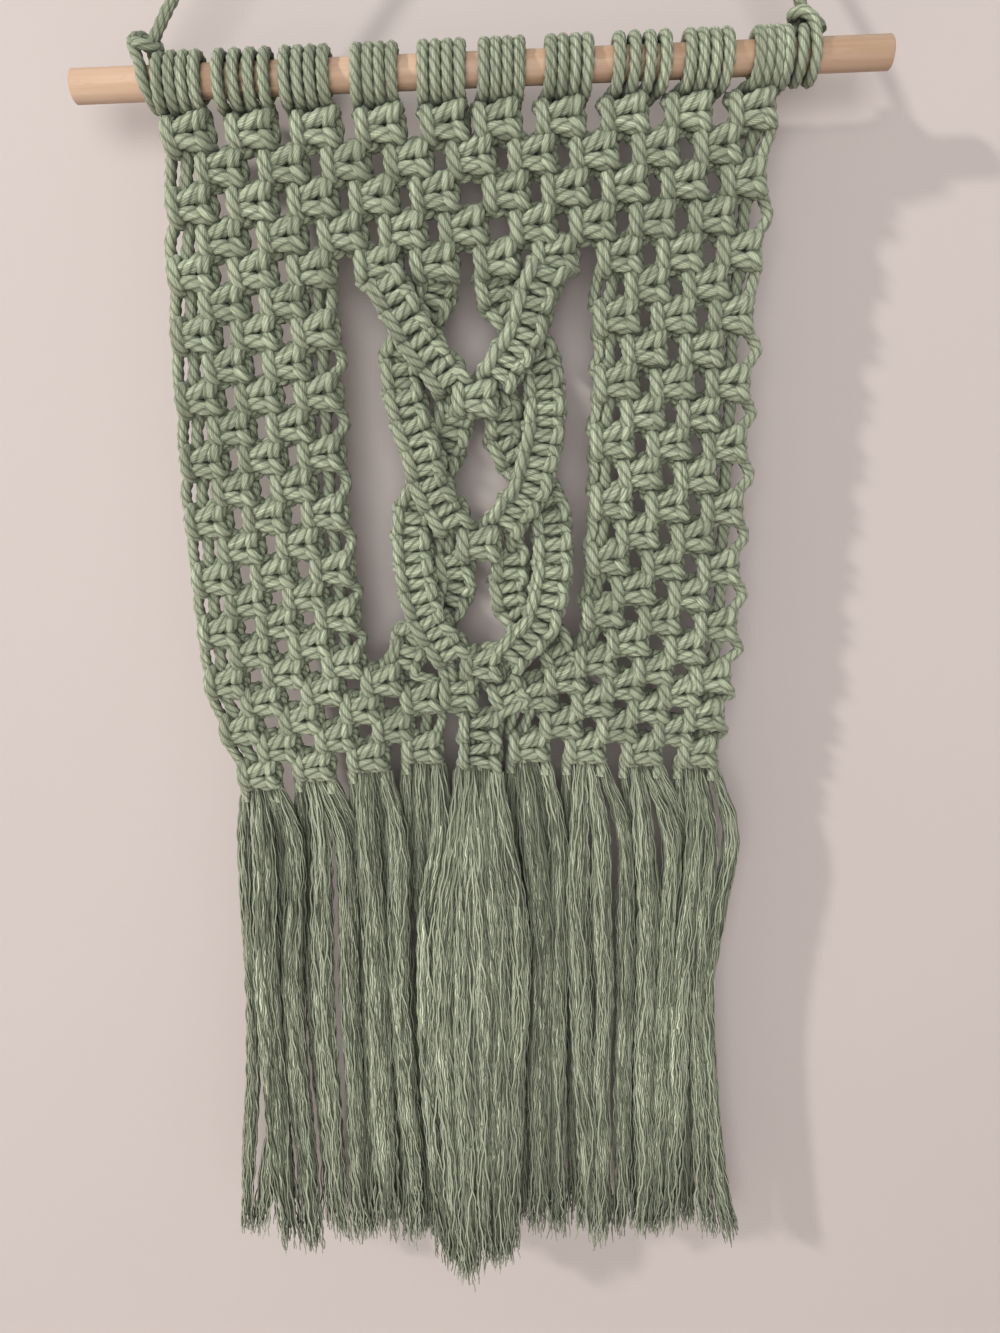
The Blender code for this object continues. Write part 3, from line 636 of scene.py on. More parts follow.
# How far behind the middle each sinnet lies at its points, the same on the left and on the right.
SINNET_DEPTHS = {
    "outer": (0.0, -5.3, -5.3, -2.5, 3.5, 5.3, 5.3, 3.0, 0.0, -4.5, -5.3, -4.8, -2.5, -1.5),
    "inner": (0.0, 4.3, 5.3, 5.3, 2.0, -3.5, -5.3, -5.3, -2.5, 2.0, 4.5, 5.3, 4.2, 2.2),
}
SINNET_OF_COLUMN = {4: "outer_left", 5: "inner_left", 6: "inner_right", 7: "outer_right"}
JOINT_KNOTS = ((-13.4, -270.9, -3.9), (-12.2, -328.4, -3.9), (-11.2, -379.6, -3.7))
JOINTS_OF = {"outer": (0, 2), "inner": (1,)}
print({name: len(points) for name, points in SINNETS.items()}, "points in each route")

# %% Space the knots along each sinnet
SINNET_KNOT_PITCH = 11.2
SINNET_SIZE = (0.84, 1.0, 0.92)


def measured(line):
    """The distance from the line's start to each of its points."""
    marks = [0.0]
    for p, q in zip(line, line[1:]):
        marks.append(marks[-1] + (q - p).length)
    return marks


def sinnet_knots(name):
    """The chain's knots from the top. Where a joint knot takes over, its number comes with the knot."""
    kind = name.split("_")[0]
    route = zip(SINNETS[name], SINNET_DEPTHS[kind])
    line = smooth([Vector((x, depth, z)) for (x, z), depth in route], 12)
    marks = measured(line)

    def at(mark):
        n = next((i for i, m in enumerate(marks) if m >= mark), len(marks) - 1)
        n = min(max(n, 1), len(marks) - 2)
        share = (mark - marks[n - 1]) / (marks[n] - marks[n - 1])
        return line[n - 1].lerp(line[n], min(max(share, 0.0), 1.0)), line[n + 1] - line[n - 1]

    stops = []
    for joint in JOINTS_OF[kind]:
        x, z, _ = JOINT_KNOTS[joint]
        nearest = min(range(len(line)), key=lambda i: (line[i].x - x) ** 2 + (line[i].z - z) ** 2)
        stops.append((marks[nearest], joint))
    made, start = [], 0.0
    for stop, joint in [*stops, (marks[-1], None)]:
        count = max(round((stop - start) / SINNET_KNOT_PITCH), 1)
        pitch = (stop - start) / count
        for n in range(1, count):
            place, down = at(start + n * pitch)
            wide, high, deep = SINNET_SIZE
            close = (wide, high * pitch / SINNET_KNOT_PITCH, deep)
            made.append(Knot(place, down, size=close, paths=CHAIN_KNOT))
        place, down = at(stop)
        last = Knot(place, down, size=SINNET_SIZE, paths=CHAIN_KNOT)
        made.append(last if joint is None else (joint, last))
        start = stop
    return made


SINNET_KNOTS = {name: sinnet_knots(name) for name in SINNETS}
print({name: len(knots) for name, knots in SINNET_KNOTS.items()}, "places in each sinnet")

# %% [markdown]
# ## Follow each strand
# Now the strands are routed one at a time. A strand goes over the rod as one turn of a lark's head,
# then takes its role in each knot on its way. At the edge it hangs past every second row. The routes
# only meet in the knots, so the knots need no modelling of their own.

# %% The lark's heads on the rod
ROD_MIDDLE = Vector((-10.4, 0.0, -154.2))
ROD_TILT = math.radians(2.16)
HEAD_GROUPS = (
    (-127.2, -113.9), (-105.3, -88.6), (-81.2, -67.4), (-55.3, -42.6), (-31.1, -17.9),
    (-9.0, 3.7), (15.2, 28.4), (39.9, 56.6), (65.6, 79.0), (90.6, 100.4),
)
# One turn, seen from the end of the rod: depth, height, and how far it has moved towards its knot.
TURN = (
    (9.7, -1.0, 0.0), (8.4, 2.6, 0.0), (5.2, 6.6, 0.0), (0.0, 8.4, 0.0),
    (-5.2, 6.6, 0.0), (-8.1, 2.6, 0.0), (-8.6, -1.8, 0.0), (-7.4, -6.2, 0.05),
    (-3.8, -9.3, 0.12), (0.6, -9.8, 0.25), (3.4, -10.8, 0.45), (2.6, -12.6, 0.75),
)


def on_rod(x, depth, height):
    """A point near the rod: its place along x, its depth behind the axis and its height above it."""
    along = x - ROD_MIDDLE.x
    return ROD_MIDDLE + Vector((along, depth, along * math.tan(ROD_TILT) + height))


def turn_place(position):
    first, last = HEAD_GROUPS[(position - 1) // 4]
    return first + (last - first) * ((position - 1) % 4) / 3


def head_turn(position, knot_x):
    x = turn_place(position)
    return [on_rod(x + (knot_x - x) * moved, depth, height) for depth, height, moved in TURN]


print("first turn at x =", turn_place(1), "and last at", turn_place(40), "mm")

# %% Knots of the net, with a little unevenness
# How far a knot leans, in degrees, and how much the knots differ in lean, size and depth.
KNOT_LEAN, LEAN_RANGE, SIZE_RANGE, DEPTH_RANGE = 5.0, 3.0, 0.03, 0.4
uneven = random.Random(23)
net_knots = {}


def give_or_take(amount):
    return uneven.uniform(-amount, amount)


def net_knot(position, row, column):
    """The knot of this row and column, tied once and then shared by its four strands."""
    if (row, column) not in net_knots:
        if row == LAST_SHARED_ROW and column in SINNET_OF_COLUMN:
            x, z = SINNETS[SINNET_OF_COLUMN[column]][0]
        elif row <= LAST_SHARED_ROW:
            x, z = row_point("left" if column <= (COLUMNS + 1) / 2 else "right", row, column)
        else:
            x, z = row_point("left" if position <= 2 * COLUMNS else "right", row, column)
        turn = math.radians(KNOT_LEAN + give_or_take(LEAN_RANGE))
        wide, high, deep = NET_SIZE
        size = (wide + give_or_take(SIZE_RANGE), high + give_or_take(SIZE_RANGE), deep)
        place = Vector((x, give_or_take(DEPTH_RANGE), z))
        net_knots[row, column] = Knot(place, turn=turn, size=size)
    return net_knots[row, column]


# How far out from their knots' middle the two strands of an edge hang past a row, and what the outer one
# has added to that at three of the edges.
EDGE_OUT, INNER_OUT = 8.4, 2.2
EXTRA_OUT = {12: 1.4, 29: -2.2, 40: 3.0}


def past_row(position, row, column, role):
    """Where an edge strand hangs past a row: the outer one runs round, and the inner one straight."""
    above = net_knot(position, row - 1, column).place
    below = net_knot(position, row + 1, column).place
    if role in (0, 3):
        out, slack = EDGE_OUT + EXTRA_OUT.get(position, 0.0), 0.5
    else:
        out, slack = INNER_OUT, 0.4
    side = -out if role < 2 else out
    return (above + below) / 2 + Vector((side + give_or_take(slack), 0.0, 0.0))


print("edge strands run", EDGE_OUT, "mm out from the middle of their knots")

# %% Route one strand
WORKING_FOOT, FILLER_FOOT = 8.0, 3.0
# Between the knots of a chain the right strand comes straight down in front. It starts and ends each knot
# this far across, up or down, and forward.
CHAIN_SIDE, CHAIN_UP, CHAIN_DEPTH = 6.9, 5.6, -5.7
# Where the strands pass beside a joint knot: each one's place across, and the heights.
BESIDE_JOINT, JOINT_HEIGHTS = (-6.8, -2.4, 2.4, 6.8), (4.0, 0.0, -4.0)


def foot_of(position):
    """How far a strand runs past its last knot. Two that end a chain are fillers in the last knot."""
    working = (position - 1) % 4 in (0, 3) and position not in (16, 25)
    return WORKING_FOOT if working else FILLER_FOOT


def chained(knot, role, depth):
    """A strand's path through a knot of a chain."""
    path = knot.strand(role)
    if role == 3:
        path[0], path[-1] = [knot.point(CHAIN_SIDE, up, depth) for up in (CHAIN_UP, -CHAIN_UP)]
    return path


def through_rows(position, first_row, last_row):
    route = []
    for row in range(first_row, last_row + 1):
        found = knot_for(position, row)
        if found:
            column, role = found
            route += net_knot(position, row, column).strand(role)
        elif row > first_row:
            column, role = (position - 1) // 4 + 1.0, (position - 1) % 4
            route.append(past_row(position, row, column, role))
    return route


def through_sinnet(name, role):
    route = []
    for knot in SINNET_KNOTS[name]:
        if isinstance(knot, Knot):
            route += chained(knot, role, CHAIN_DEPTH)
            continue
        number, beside = knot
        inward = role >= 2 if name.endswith("left") else role < 2
        if inward:
            x, z, depth = JOINT_KNOTS[number]
            tied = Knot(Vector((x, depth, z)))
            route += tied.strand(role - 2 if name.endswith("left") else role + 2)
        else:
            route += [beside.point(BESIDE_JOINT[role], up, 0.0) for up in JOINT_HEIGHTS]
    return route


print("routes run", FILLER_FOOT, "to", WORKING_FOOT, "mm past the last knot, into the fringe")

# %% Gather eight strands into two broad knots
GATHER_KNOTS = ((-11.6, -408.6), (-11.8, -420.6))
GATHER_FORWARD, GATHER_SIZE = -1.0, (1.06, 1.08, 1.30)
GATHER_DEPTH, GATHER_HEIGHTS = -5.0, (5.0, 0.0, -5.0)
# The two working strands with their roles, and the six fillers with their places across and in depth.
GATHER_WORKING = {13: 0, 28: 3}
GATHER_FILLERS = {
    14: (-3.3, -1.9), 15: (-3.3, 1.9), 16: (0.0, 1.9), 25: (0.0, -1.9), 26: (3.3, 1.9), 27: (3.3, -1.9)
}


def through_gather(position):
    route = []
    for x, z in GATHER_KNOTS:
        knot = Knot(Vector((x, GATHER_FORWARD, z)), size=GATHER_SIZE)
        if position in GATHER_WORKING:
            route += chained(knot, GATHER_WORKING[position], GATHER_DEPTH)
        else:
            across, depth = GATHER_FILLERS[position]
            route += [Vector((x + across, GATHER_FORWARD + depth, z + up)) for up in GATHER_HEIGHTS]
    return route


def strand_route(position):
    """One strand from the bar behind the rod to its foot inside the fringe, in millimetres."""
    column, role = knot_for(position, 1)
    first = net_knot(position, 1, column).strand(role)
    route = head_turn(position, first[0].x)
    # A filler goes straight on into the middle of its first knot.
    route += first[1:] if role in (1, 2) else first
    route += through_rows(position, 2, LAST_SHARED_ROW)
    if 13 <= position <= 28:
        name = SINNET_OF_COLUMN[int(column)]
        route += through_sinnet(name, role)
        if name.startswith("outer"):
            route += through_gather(position)
        else:
            outward = position - 4 if name.endswith("left") else position + 4
            route += through_rows(outward, LAST_SPLIT_ROW + 1, LAST_ROW)
    else:
        route += through_rows(position, LAST_SHARED_ROW + 1, LAST_ROW)
    route.append(route[-1] + Vector((0.0, 0.0, -foot_of(position))))
    return route


ROUTES = {position: strand_route(position) for position in range(1, 4 * COLUMNS + 1)}
print("cord in the net:", round(sum(length_of(route) for route in ROUTES.values()) / 1000, 2), "m")

# %% [markdown]
# ## Twist the strands
# Each folded cord is two strands joined by a short bar behind the rod. The twenty cords are kept in four
# groups, the two side panels and two pairs of sinnets, so that no mesh grows too heavy.

# %% How wide a cord looks
# How much wider than its diameter a cord is drawn, and the distances from a knot's middle between which
# its grip fades.
NET_SWELL, SINNET_SWELL, WRAP_SWELL = 0.42, 0.30, 0.06
FULL_GRIP, NO_GRIP = 7.0, 11.0
chain_knots = [knot for knots in SINNET_KNOTS.values() for knot in knots if isinstance(knot, Knot)]
knot_places = [(knot.place, NET_SWELL) for knot in net_knots.values()]
knot_places += [(knot.place, SINNET_SWELL) for knot in chain_knots]
knot_places += [(Vector((x, depth, z)), NET_SWELL) for x, z, depth in JOINT_KNOTS]
knot_finder = KDTree(len(knot_places))
for number, (place, _) in enumerate(knot_places):
    knot_finder.insert(place, number)
knot_finder.balance()


def pressed_wide(point):
    """A soft cord is pressed wide where a knot grips it, and it is round again between the knots."""
    _, number, distance = knot_finder.find(point)
    grip = min(max((NO_GRIP - distance) / (NO_GRIP - FULL_GRIP), 0.0), 1.0)
    return 1.0 + WRAP_SWELL + (knot_places[number][1] - WRAP_SWELL) * grip


print(len(knot_places), "knots")

# %% Make the twenty cords
CORD_GROUPS = {
    "left_panel_cords": range(1, 13),
    "left_sinnet_cords": range(13, 21),
    "right_sinnet_cords": range(21, 29),
    "right_panel_cords": range(29, 41),
}
BAR_BEHIND, BAR_UP = 10.1, -4.8


def folded_cord(left):
    """Two neighbouring strands as one cord, from the foot of one over the rod to the foot of the other."""
    bar = on_rod((turn_place(left) + turn_place(left + 1)) / 2, BAR_BEHIND, BAR_UP)
    return smooth([*reversed(ROUTES[left]), bar, *ROUTES[left + 1]], 4)


for name, positions in CORD_GROUPS.items():
    cords = [folded_cord(position) for position in positions if position % 2]
    widths = [[pressed_wide(point) for point in cord] for cord in cords]
    piece = run_tree(lines_object(name, cords, widths), CORD_TREE, name, {"Finish": CORD_FINISH})
    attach(piece, "root")
    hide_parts("knotted_net")
print(sum(len(positions) for positions in CORD_GROUPS.values()) // 2, "cords in the net")

# %% [markdown]
# ## Hitches
# The hanging cord's two ends are wrapped round the rod and tied on top: one turn on the left, two on
# the right. They are the same cord, so they use the same tree, along routes that wind round the rod.

# %% Make both hitches, from (x, depth, height) points near the rod
LEFT_HITCH = (
    (-130.0, 0.0, 13.4), (-131.0, 3.4, 9.4), (-131.2, 8.3, 2.6), (-130.6, 7.6, -4.4),
    (-130.2, 0.6, -8.5), (-130.8, -6.2, -5.8), (-132.2, -8.4, -0.6), (-133.6, -6.4, 5.6),
    (-135.2, -4.8, 9.6), (-136.6, -2.0, 13.6), (-134.8, 1.8, 15.8), (-131.2, 3.6, 14.2),
    (-128.2, 1.6, 12.0), (-128.6, -3.4, 10.4), (-132.0, -6.2, 11.4), (-135.0, -5.6, 11.8),
)
RIGHT_HITCH = (
    (106.1, 0.0, 15.8), (105.4, 3.4, 10.6), (105.0, 8.2, 3.0), (105.1, 6.8, -5.2),
    (105.3, 0.0, -8.6), (105.4, -6.4, -5.6), (105.5, -8.4, 0.0), (105.8, -6.2, 5.8),
    (107.4, 0.0, 8.6), (109.8, 6.2, 5.8), (110.5, 8.4, 0.0), (110.5, 6.0, -6.0),
    (110.4, 0.0, -8.6), (110.3, -6.2, -5.8), (110.4, -8.4, 0.0), (110.0, -6.8, 6.0),
    (109.0, -5.2, 10.6), (105.8, -4.6, 13.2), (102.8, -0.6, 13.4), (104.6, 3.8, 12.6),
    (108.8, 3.6, 12.6), (111.6, 0.4, 11.0), (113.2, -2.2, 7.6),
)
HITCHES = (("left_hitch", LEFT_HITCH, "hitch_left"), ("right_hitch", RIGHT_HITCH, "hitch_right"))
for name, spots, node in HITCHES:
    line = smooth([on_rod(*spot) for spot in spots])
    piece = run_tree(lines_object(name, [line]), CORD_TREE, name, {"Finish": CORD_FINISH})
    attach(piece, "root")
    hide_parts(node)
print("hitches:", [name for name, *_ in HITCHES])

# %% [markdown]
# ## Fringe
# Below its last knot each strand is untwisted and combed, and hangs as one soft lock. A lock is a packed
# bundle of fine yarns which keep a crimp from their twist. Modelling them all would be heavy, and only
# the outer ones are seen. So a lock is made as a full body with yarns laid all round it, and near the
# tip the yarns spread. Geometry Nodes makes both from one guide line for each lock.

# %% How far a lock has opened, as (share of the length, share of the radius)
LOCK_OPENING = ((0.0, 0.48), (0.05, 0.66), (0.13, 0.86), (0.30, 1.0), (0.82, 1.0), (1.0, 0.86))
BODY_OPENING = (
    (0.0, 0.44), (0.05, 0.62), (0.13, 0.82), (0.30, 0.94), (0.80, 0.92), (0.92, 0.70), (1.0, 0.25)
)
# The body ends at this share of the length, and the yarns of the tip start at this one.
BODY_END, TIP_START = 0.945, 0.80
BODY_CORNERS, YARN_CORNERS = 14, 3
print("a lock is fully open after", LOCK_OPENING[3][0], "of its length")

# %% Steps that a lock's body, yarns and tip share
class LockTree(ShapeTree):
    """The tree of a combed lock, with the steps that its body, yarns and tip share."""

    def curve(self, share, spots):
        """A smooth curve through (share, value) spots, from 0 to 1."""
        node = self.put("ShaderNodeFloatCurve", {"Value": share})
        profile = node.mapping.curves[0]
        profile.points[0].location, profile.points[1].location = spots[0], spots[-1]
        for spot in spots[1:-1]:
            profile.points.new(*spot)
        node.mapping.update()
        return node.outputs[0]

    def drawn(self, draw, low=0.0, high=1.0):
        """A random number that is the same all along a line. Each draw has its own number."""
        drawn = {2: low, 3: high, 8: self.plus(self.given["Seed"], draw)}
        value = self.put("FunctionNodeRandomValue", drawn, data_type="FLOAT").outputs[1]
        return self.shape("FieldOnDomain", {0: value}, data_type="FLOAT", domain="CURVE")

    def lumps(self, scale):
        """Noise from -0.5 to 0.5 that is stretched down the fringe."""
        return self.minus(self.noise(self.stretch(self.shape("InputPosition"), scale), detail=1.0), 0.5)

    def cut(self, curve, points, end):
        """The curve up to this share of its length, then the share and the length along it."""
        kept = self.shape("TrimCurve", {"Curve": curve, 3: end}, mode="FACTOR")
        line = self.shape("ResampleCurve", {"Curve": kept, "Count": points}, mode="COUNT")
        spline = self.put("GeometryNodeSplineParameter")
        return line, spline.outputs["Factor"], spline.outputs["Length"]

    def copies(self, curve, amount):
        """Copies of each line, and each copy's number."""
        copied = {"Geometry": curve, "Amount": self.given[amount]}
        return self.put("GeometryNodeDuplicateElements", copied, domain="SPLINE").outputs[:2]

    def yarns(self, line, reach, bearing, crimp, wave, draw, thick):
        """Moves the lines out to their bearings, crimps them, and makes each one a slim tube."""

        def offset(function):
            crimped = self.times(crimp, self.maths(function, wave))
            return self.scaled(reach, self.maths(function, bearing), crimped)

        out = self.vector(offset("COSINE"), self.times(offset("SINE"), self.given["Flatness"]), 0.0)
        line = self.store(self.move(line, out), "yarn", self.drawn(draw))
        mesh = self.sweep(line, self.ring(YARN_CORNERS), thick)
        # A tube is one yarn, so it lies at one place around: the middle of a yarn in the finish.
        mesh = self.store(mesh, "fibre", (-0.001, 0.0, 0.0), "FLOAT_VECTOR")
        # Through the groove attribute each yarn gets its own random tone.
        return self.store(mesh, "groove", self.remap(self.recall("yarn"), 0.0, 1.0, 0.0, 0.8))


print("lock helpers ready")

# %% The body of a lock
def lock_body(tree):
    """The solid middle of each lock: an oval tube, a little uneven along and around."""
    given = tree.given
    line, share, length = tree.cut(given["Locks"], given["Body Rings"], BODY_END)
    line = tree.store(line, "along", tree.plus(length, tree.drawn(20)))
    line = tree.shape("SetCurveNormal", {"Curve": line, "Normal": (0.0, -1.0, 0.0)}, mode="FREE")
    angle = tree.times(tree.shape("InputIndex"), math.tau / BODY_CORNERS)
    outline = tree.store(tree.ring(BODY_CORNERS), "around", angle)
    oval = tree.stretch(tree.shape("InputPosition"), tree.vector(given["Flatness"], 1.0, 1.0))
    outline = tree.shape("SetPosition", {"Geometry": outline, "Position": oval})
    size = tree.times(
        tree.shape("InputRadius"),
        tree.curve(share, BODY_OPENING),
        tree.scaled(tree.lumps((90.0, 90.0, 40.0)), 0.35, 1.0),
    )
    mesh = tree.sweep(line, outline, size)
    depth = tree.times(tree.lumps((420.0, 420.0, 45.0)), 2.4 * MM)
    mesh = tree.move(mesh, tree.shape("InputNormal"), depth)
    mesh = tree.mark_fibres(mesh, tree.recall("around"), tree.recall("along"))
    # A fixed groove of 0.42 paints shade over the whole body, which stands for the packed yarns inside the
    # lock.
    return tree.store(mesh, "groove", 0.42)


print("a lock's body has", BODY_CORNERS, "corners")

# %% The yarns of a lock and of its tip
def lock_yarns(tree):
    """Fine crimped yarns all round each lock, each with its own length, course and crimp."""
    given = tree.given
    copies, number = tree.copies(given["Locks"], "Yarns in a Lock")
    line, share, length = tree.cut(copies, given["Yarn Points"], tree.drawn(1, 0.955, 1.0))

    # At the tip the yarns spread. One in twenty is loose, and bulges out from the lock.
    spread = tree.times(tree.remap(share, 0.84, 1.0), tree.drawn(3, -0.85, 0.75))
    loose = tree.maths("GREATER_THAN", tree.drawn(4), 0.95)
    bulge = tree.times(loose, tree.times(tree.maths("SINE", tree.times(share, math.pi)), 0.4))
    reach = tree.times(
        tree.shape("InputRadius"),
        tree.curve(share, LOCK_OPENING),
        tree.drawn(2, 0.93, 1.07),
        tree.plus(tree.plus(spread, bulge), 1.0),
    )
    turn = tree.plus(tree.over(number, given["Yarns in a Lock"]), tree.drawn(5, 0.0, 0.06))
    drift = tree.scaled(length, tree.drawn(6, 40.0, 90.0), tree.drawn(7, 0.0, math.tau))
    bearing = tree.scaled(tree.maths("SINE", drift), 0.4, tree.times(turn, math.tau))

    wave = tree.over(math.tau, tree.times(given["Crimp Length"], tree.drawn(8, 0.8, 1.3)))
    wave = tree.scaled(length, wave, tree.drawn(9, 0.0, math.tau))
    crimp = tree.times(given["Crimp Height"], tree.drawn(10, 0.6, 1.3))
    ends = tree.remap(share, 0.95, 1.0, 1.0, 0.5)
    thick = tree.times(given["Yarn Radius"], ends, tree.drawn(12, 0.8, 1.25))
    return tree.yarns(line, reach, bearing, crimp, wave, 11, thick)


def lock_tip(tree):
    """More yarns over the last part, where the body ends, so that the tip is a full soft brush."""
    given = tree.given
    end = tree.shape("TrimCurve", {"Curve": given["Locks"], 2: TIP_START}, mode="FACTOR")
    copies, _ = tree.copies(end, "Tip Yarns")
    line, share, length = tree.cut(copies, given["Tip Points"], tree.drawn(31, 0.80, 1.0))
    filled = tree.maths("SQRT", tree.drawn(32))
    reach = tree.times(tree.shape("InputRadius"), filled, tree.remap(share, 0.3, 1.0, 0.8, 1.35))
    bearing = tree.drawn(33, 0.0, math.tau)
    wave = tree.scaled(length, tree.drawn(34, 300.0, 900.0), tree.drawn(35, 0.0, math.tau))
    crimp = tree.times(given["Crimp Height"], tree.drawn(36, 0.8, 1.8))
    thick = tree.times(given["Yarn Radius"], tree.remap(share, 0.7, 1.0, 1.0, 0.5))
    return tree.yarns(line, reach, bearing, crimp, wave, 37, thick)


print("a yarn has", YARN_CORNERS, "corners")

# %% The lock's tree as a whole
def lock_tree():
    inputs = {
        "Locks": ("Geometry", None),
        "Yarns in a Lock": ("Int", 17),
        "Yarn Points": ("Int", 88),
        "Body Rings": ("Int", 56),
        "Tip Yarns": ("Int", 16),
        "Tip Points": ("Int", 14),
        "Yarn Radius": ("Float", 0.45 * MM),
        "Crimp Height": ("Float", 0.40 * MM),
        "Crimp Length": ("Float", 15.0 * MM),
        "Flatness": ("Float", 0.75),
        "Seed": ("Int", 5),
        "Finish": ("Material", None),
    }
    tree = new_group(LockTree, "combed_lock", inputs, {"Fringe": ("Geometry", None)})
    joined = tree.put("GeometryNodeJoinGeometry")
    for part in (lock_body(tree), lock_yarns(tree), lock_tip(tree)):
        tree.nodes.links.new(part, joined.inputs[0])
    tree.finish(joined.outputs[0], "Fringe")
    return tree.nodes


LOCK_TREE = lock_tree()
print("lock tree:", len(LOCK_TREE.nodes), "nodes")

# %% Where each lock hangs
FRINGE_HEIGHTS = (-460.7, -498.5, -543.7, -591.3, -641.7)
LOCKS = {
    # tuft: ((strand, radius, depth, tip height, places across at each height and at the tip), ...)
    1: (
        (1, 3.0, 2.0, -686.0, (-118.5, -119.6, -120.2, -122.8, -128.5, -132.5)),
        (2, 5.8, -3.0, -691.0, (-108.4, -109.9, -111.5, -111.8, -111.2, -109.1)),
        (3, 4.7, 2.5, -688.0, (-102.0, -102.7, -105.4, -108.2, -118.0, -125.6)),
        (4, 4.9, -2.0, -697.0, (-95.8, -97.2, -100.2, -100.7, -98.9, -98.7)),
    ),
    2: (
        (5, 4.4, 3.0, -685.0, (-91.5, -92.0, -91.0, -90.0, -88.0, -88.0)),
        (6, 4.9, -3.0, -686.0, (-83.3, -84.6, -85.7, -85.0, -85.1, -82.1)),
        (7, 4.6, -2.0, -687.0, (-74.1, -72.9, -73.9, -73.7, -73.4, -72.6)),
        (8, 4.4, 0.5, -686.0, (-68.5, -65.0, -64.8, -65.5, -67.9, -70.0)),
    ),
    3: (
        (9, 4.4, 3.0, -685.0, (-65.2, -63.5, -62.7, -61.8, -65.2, -67.4)),
        (10, 5.8, -3.0, -686.0, (-62.4, -61.1, -60.2, -60.2, -60.1, -61.3)),
        (11, 4.4, 3.0, -686.0, (-56.0, -54.8, -54.6, -53.5, -53.3, -52.6)),
        (12, 5.0, -3.0, -688.0, (-49.5, -50.0, -50.3, -48.9, -46.8, -47.0)),
    ),
    4: (
        (17, 3.5, 3.5, -690.0, (-46.0, -47.0, -46.6, -42.8, -41.4, -39.5)),
        (18, 3.9, 3.0, -694.0, (-38.6, -38.0, -34.5, -33.7, -34.5, -35.2)),
        (19, 3.9, 3.5, -699.0, (-36.0, -36.0, -32.9, -30.4, -29.4, -28.2)),
        (20, 5.5, -5.0, -699.0, (-29.6, -34.4, -36.1, -35.7, -32.5, -28.2)),
    ),
    5: (
        (13, 5.2, -11.0, -701.0, (-22.5, -27.4, -28.8, -27.4, -25.2, -23.4)),
        (14, 4.9, -13.0, -705.0, (-17.6, -19.5, -20.3, -19.1, -18.9, -18.9)),
        (15, 4.9, -13.0, -695.0, (-12.7, -12.3, -11.4, -11.3, -11.6, -11.7)),
        (27, 4.9, -13.0, -694.0, (-7.4, -4.6, -3.4, -3.9, -3.9, -4.8)),
        (28, 4.9, -11.0, -692.0, (-0.8, 4.0, 5.0, 3.6, 2.1, 2.2)),
        (16, 4.7, -6.0, -698.0, (-19.9, -23.5, -24.0, -23.7, -23.5, -24.8)),
        (25, 4.7, -6.0, -695.0, (-10.7, -8.5, -7.1, -7.2, -7.3, -7.4)),
        (26, 4.7, -6.0, -692.0, (-3.8, 0.1, 0.7, -0.2, -1.2, -0.4)),
    ),
    6: (
        (21, 3.8, 3.0, -685.0, (2.3, 4.0, 6.6, 8.5, 8.9, 9.1)),
        (22, 5.7, -2.5, -683.0, (11.1, 15.0, 16.3, 16.8, 17.7, 17.8)),
        (23, 4.2, 3.0, -680.0, (17.6, 18.9, 19.5, 21.0, 22.5, 23.4)),
        (24, 4.2, -2.0, -685.0, (22.6, 22.8, 23.5, 24.3, 25.4, 27.4)),
    ),
    7: (
        (29, 3.8, 3.0, -682.0, (28.5, 29.9, 32.4, 33.4, 35.3, 35.2)),
        (30, 5.2, -2.5, -686.0, (31.9, 32.4, 35.3, 37.5, 40.9, 42.2)),
        (31, 4.7, -3.0, -690.0, (42.2, 42.8, 45.3, 45.3, 47.7, 48.2)),
        (32, 3.9, -2.0, -686.0, (52.2, 54.5, 55.8, 56.2, 57.6, 57.8)),
    ),
    8: (
        (33, 3.8, 3.0, -683.0, (56.4, 58.4, 60.6, 62.4, 65.1, 66.5)),
        (34, 4.9, -2.5, -685.0, (61.4, 65.2, 65.4, 66.5, 68.1, 68.2)),
        (35, 4.7, -2.0, -683.0, (73.6, 73.8, 73.5, 74.8, 74.4, 73.4)),
        (36, 4.2, 2.5, -683.0, (78.5, 80.4, 81.5, 83.1, 83.8, 82.1)),
    ),
    9: (
        (37, 4.1, 3.0, -685.0, (80.5, 81.7, 82.3, 85.0, 89.8, 93.4)),
        (38, 4.9, -2.5, -682.0, (84.4, 82.9, 81.2, 82.2, 81.8, 79.5)),
        (39, 4.2, -2.0, -686.0, (90.5, 89.2, 89.1, 93.3, 97.4, 103.0)),
        (40, 3.9, -1.0, -691.0, (100.5, 97.0, 93.6, 98.0, 105.6, 115.2)),
    ),
}
print(sum(len(locks) for locks in LOCKS.values()), "locks")

# %% Make the nine tufts
SWAY_ACROSS, SWAY_DEEP = 0.5, 0.7
sway = random.Random(7)
# A lock starts this far above its strand's foot, inside the knot.
RISE = {WORKING_FOOT: 6.5, FILLER_FOOT: 2.0}


def lock_line(strand, depth, tip, places):
    """The guide of one lock, from its strand's foot to its tip."""
    points = [ROUTES[strand][-1] + Vector((0.0, 0.0, RISE[foot_of(strand)]))]
    for x, z in zip(places, FRINGE_HEIGHTS):
        across, deep = sway.uniform(-SWAY_ACROSS, SWAY_ACROSS), sway.uniform(-SWAY_DEEP, SWAY_DEEP)
        points.append(Vector((x + across, depth + deep, z)))
    points.append(Vector((places[-1], depth, tip)))
    return smooth(points, 5)


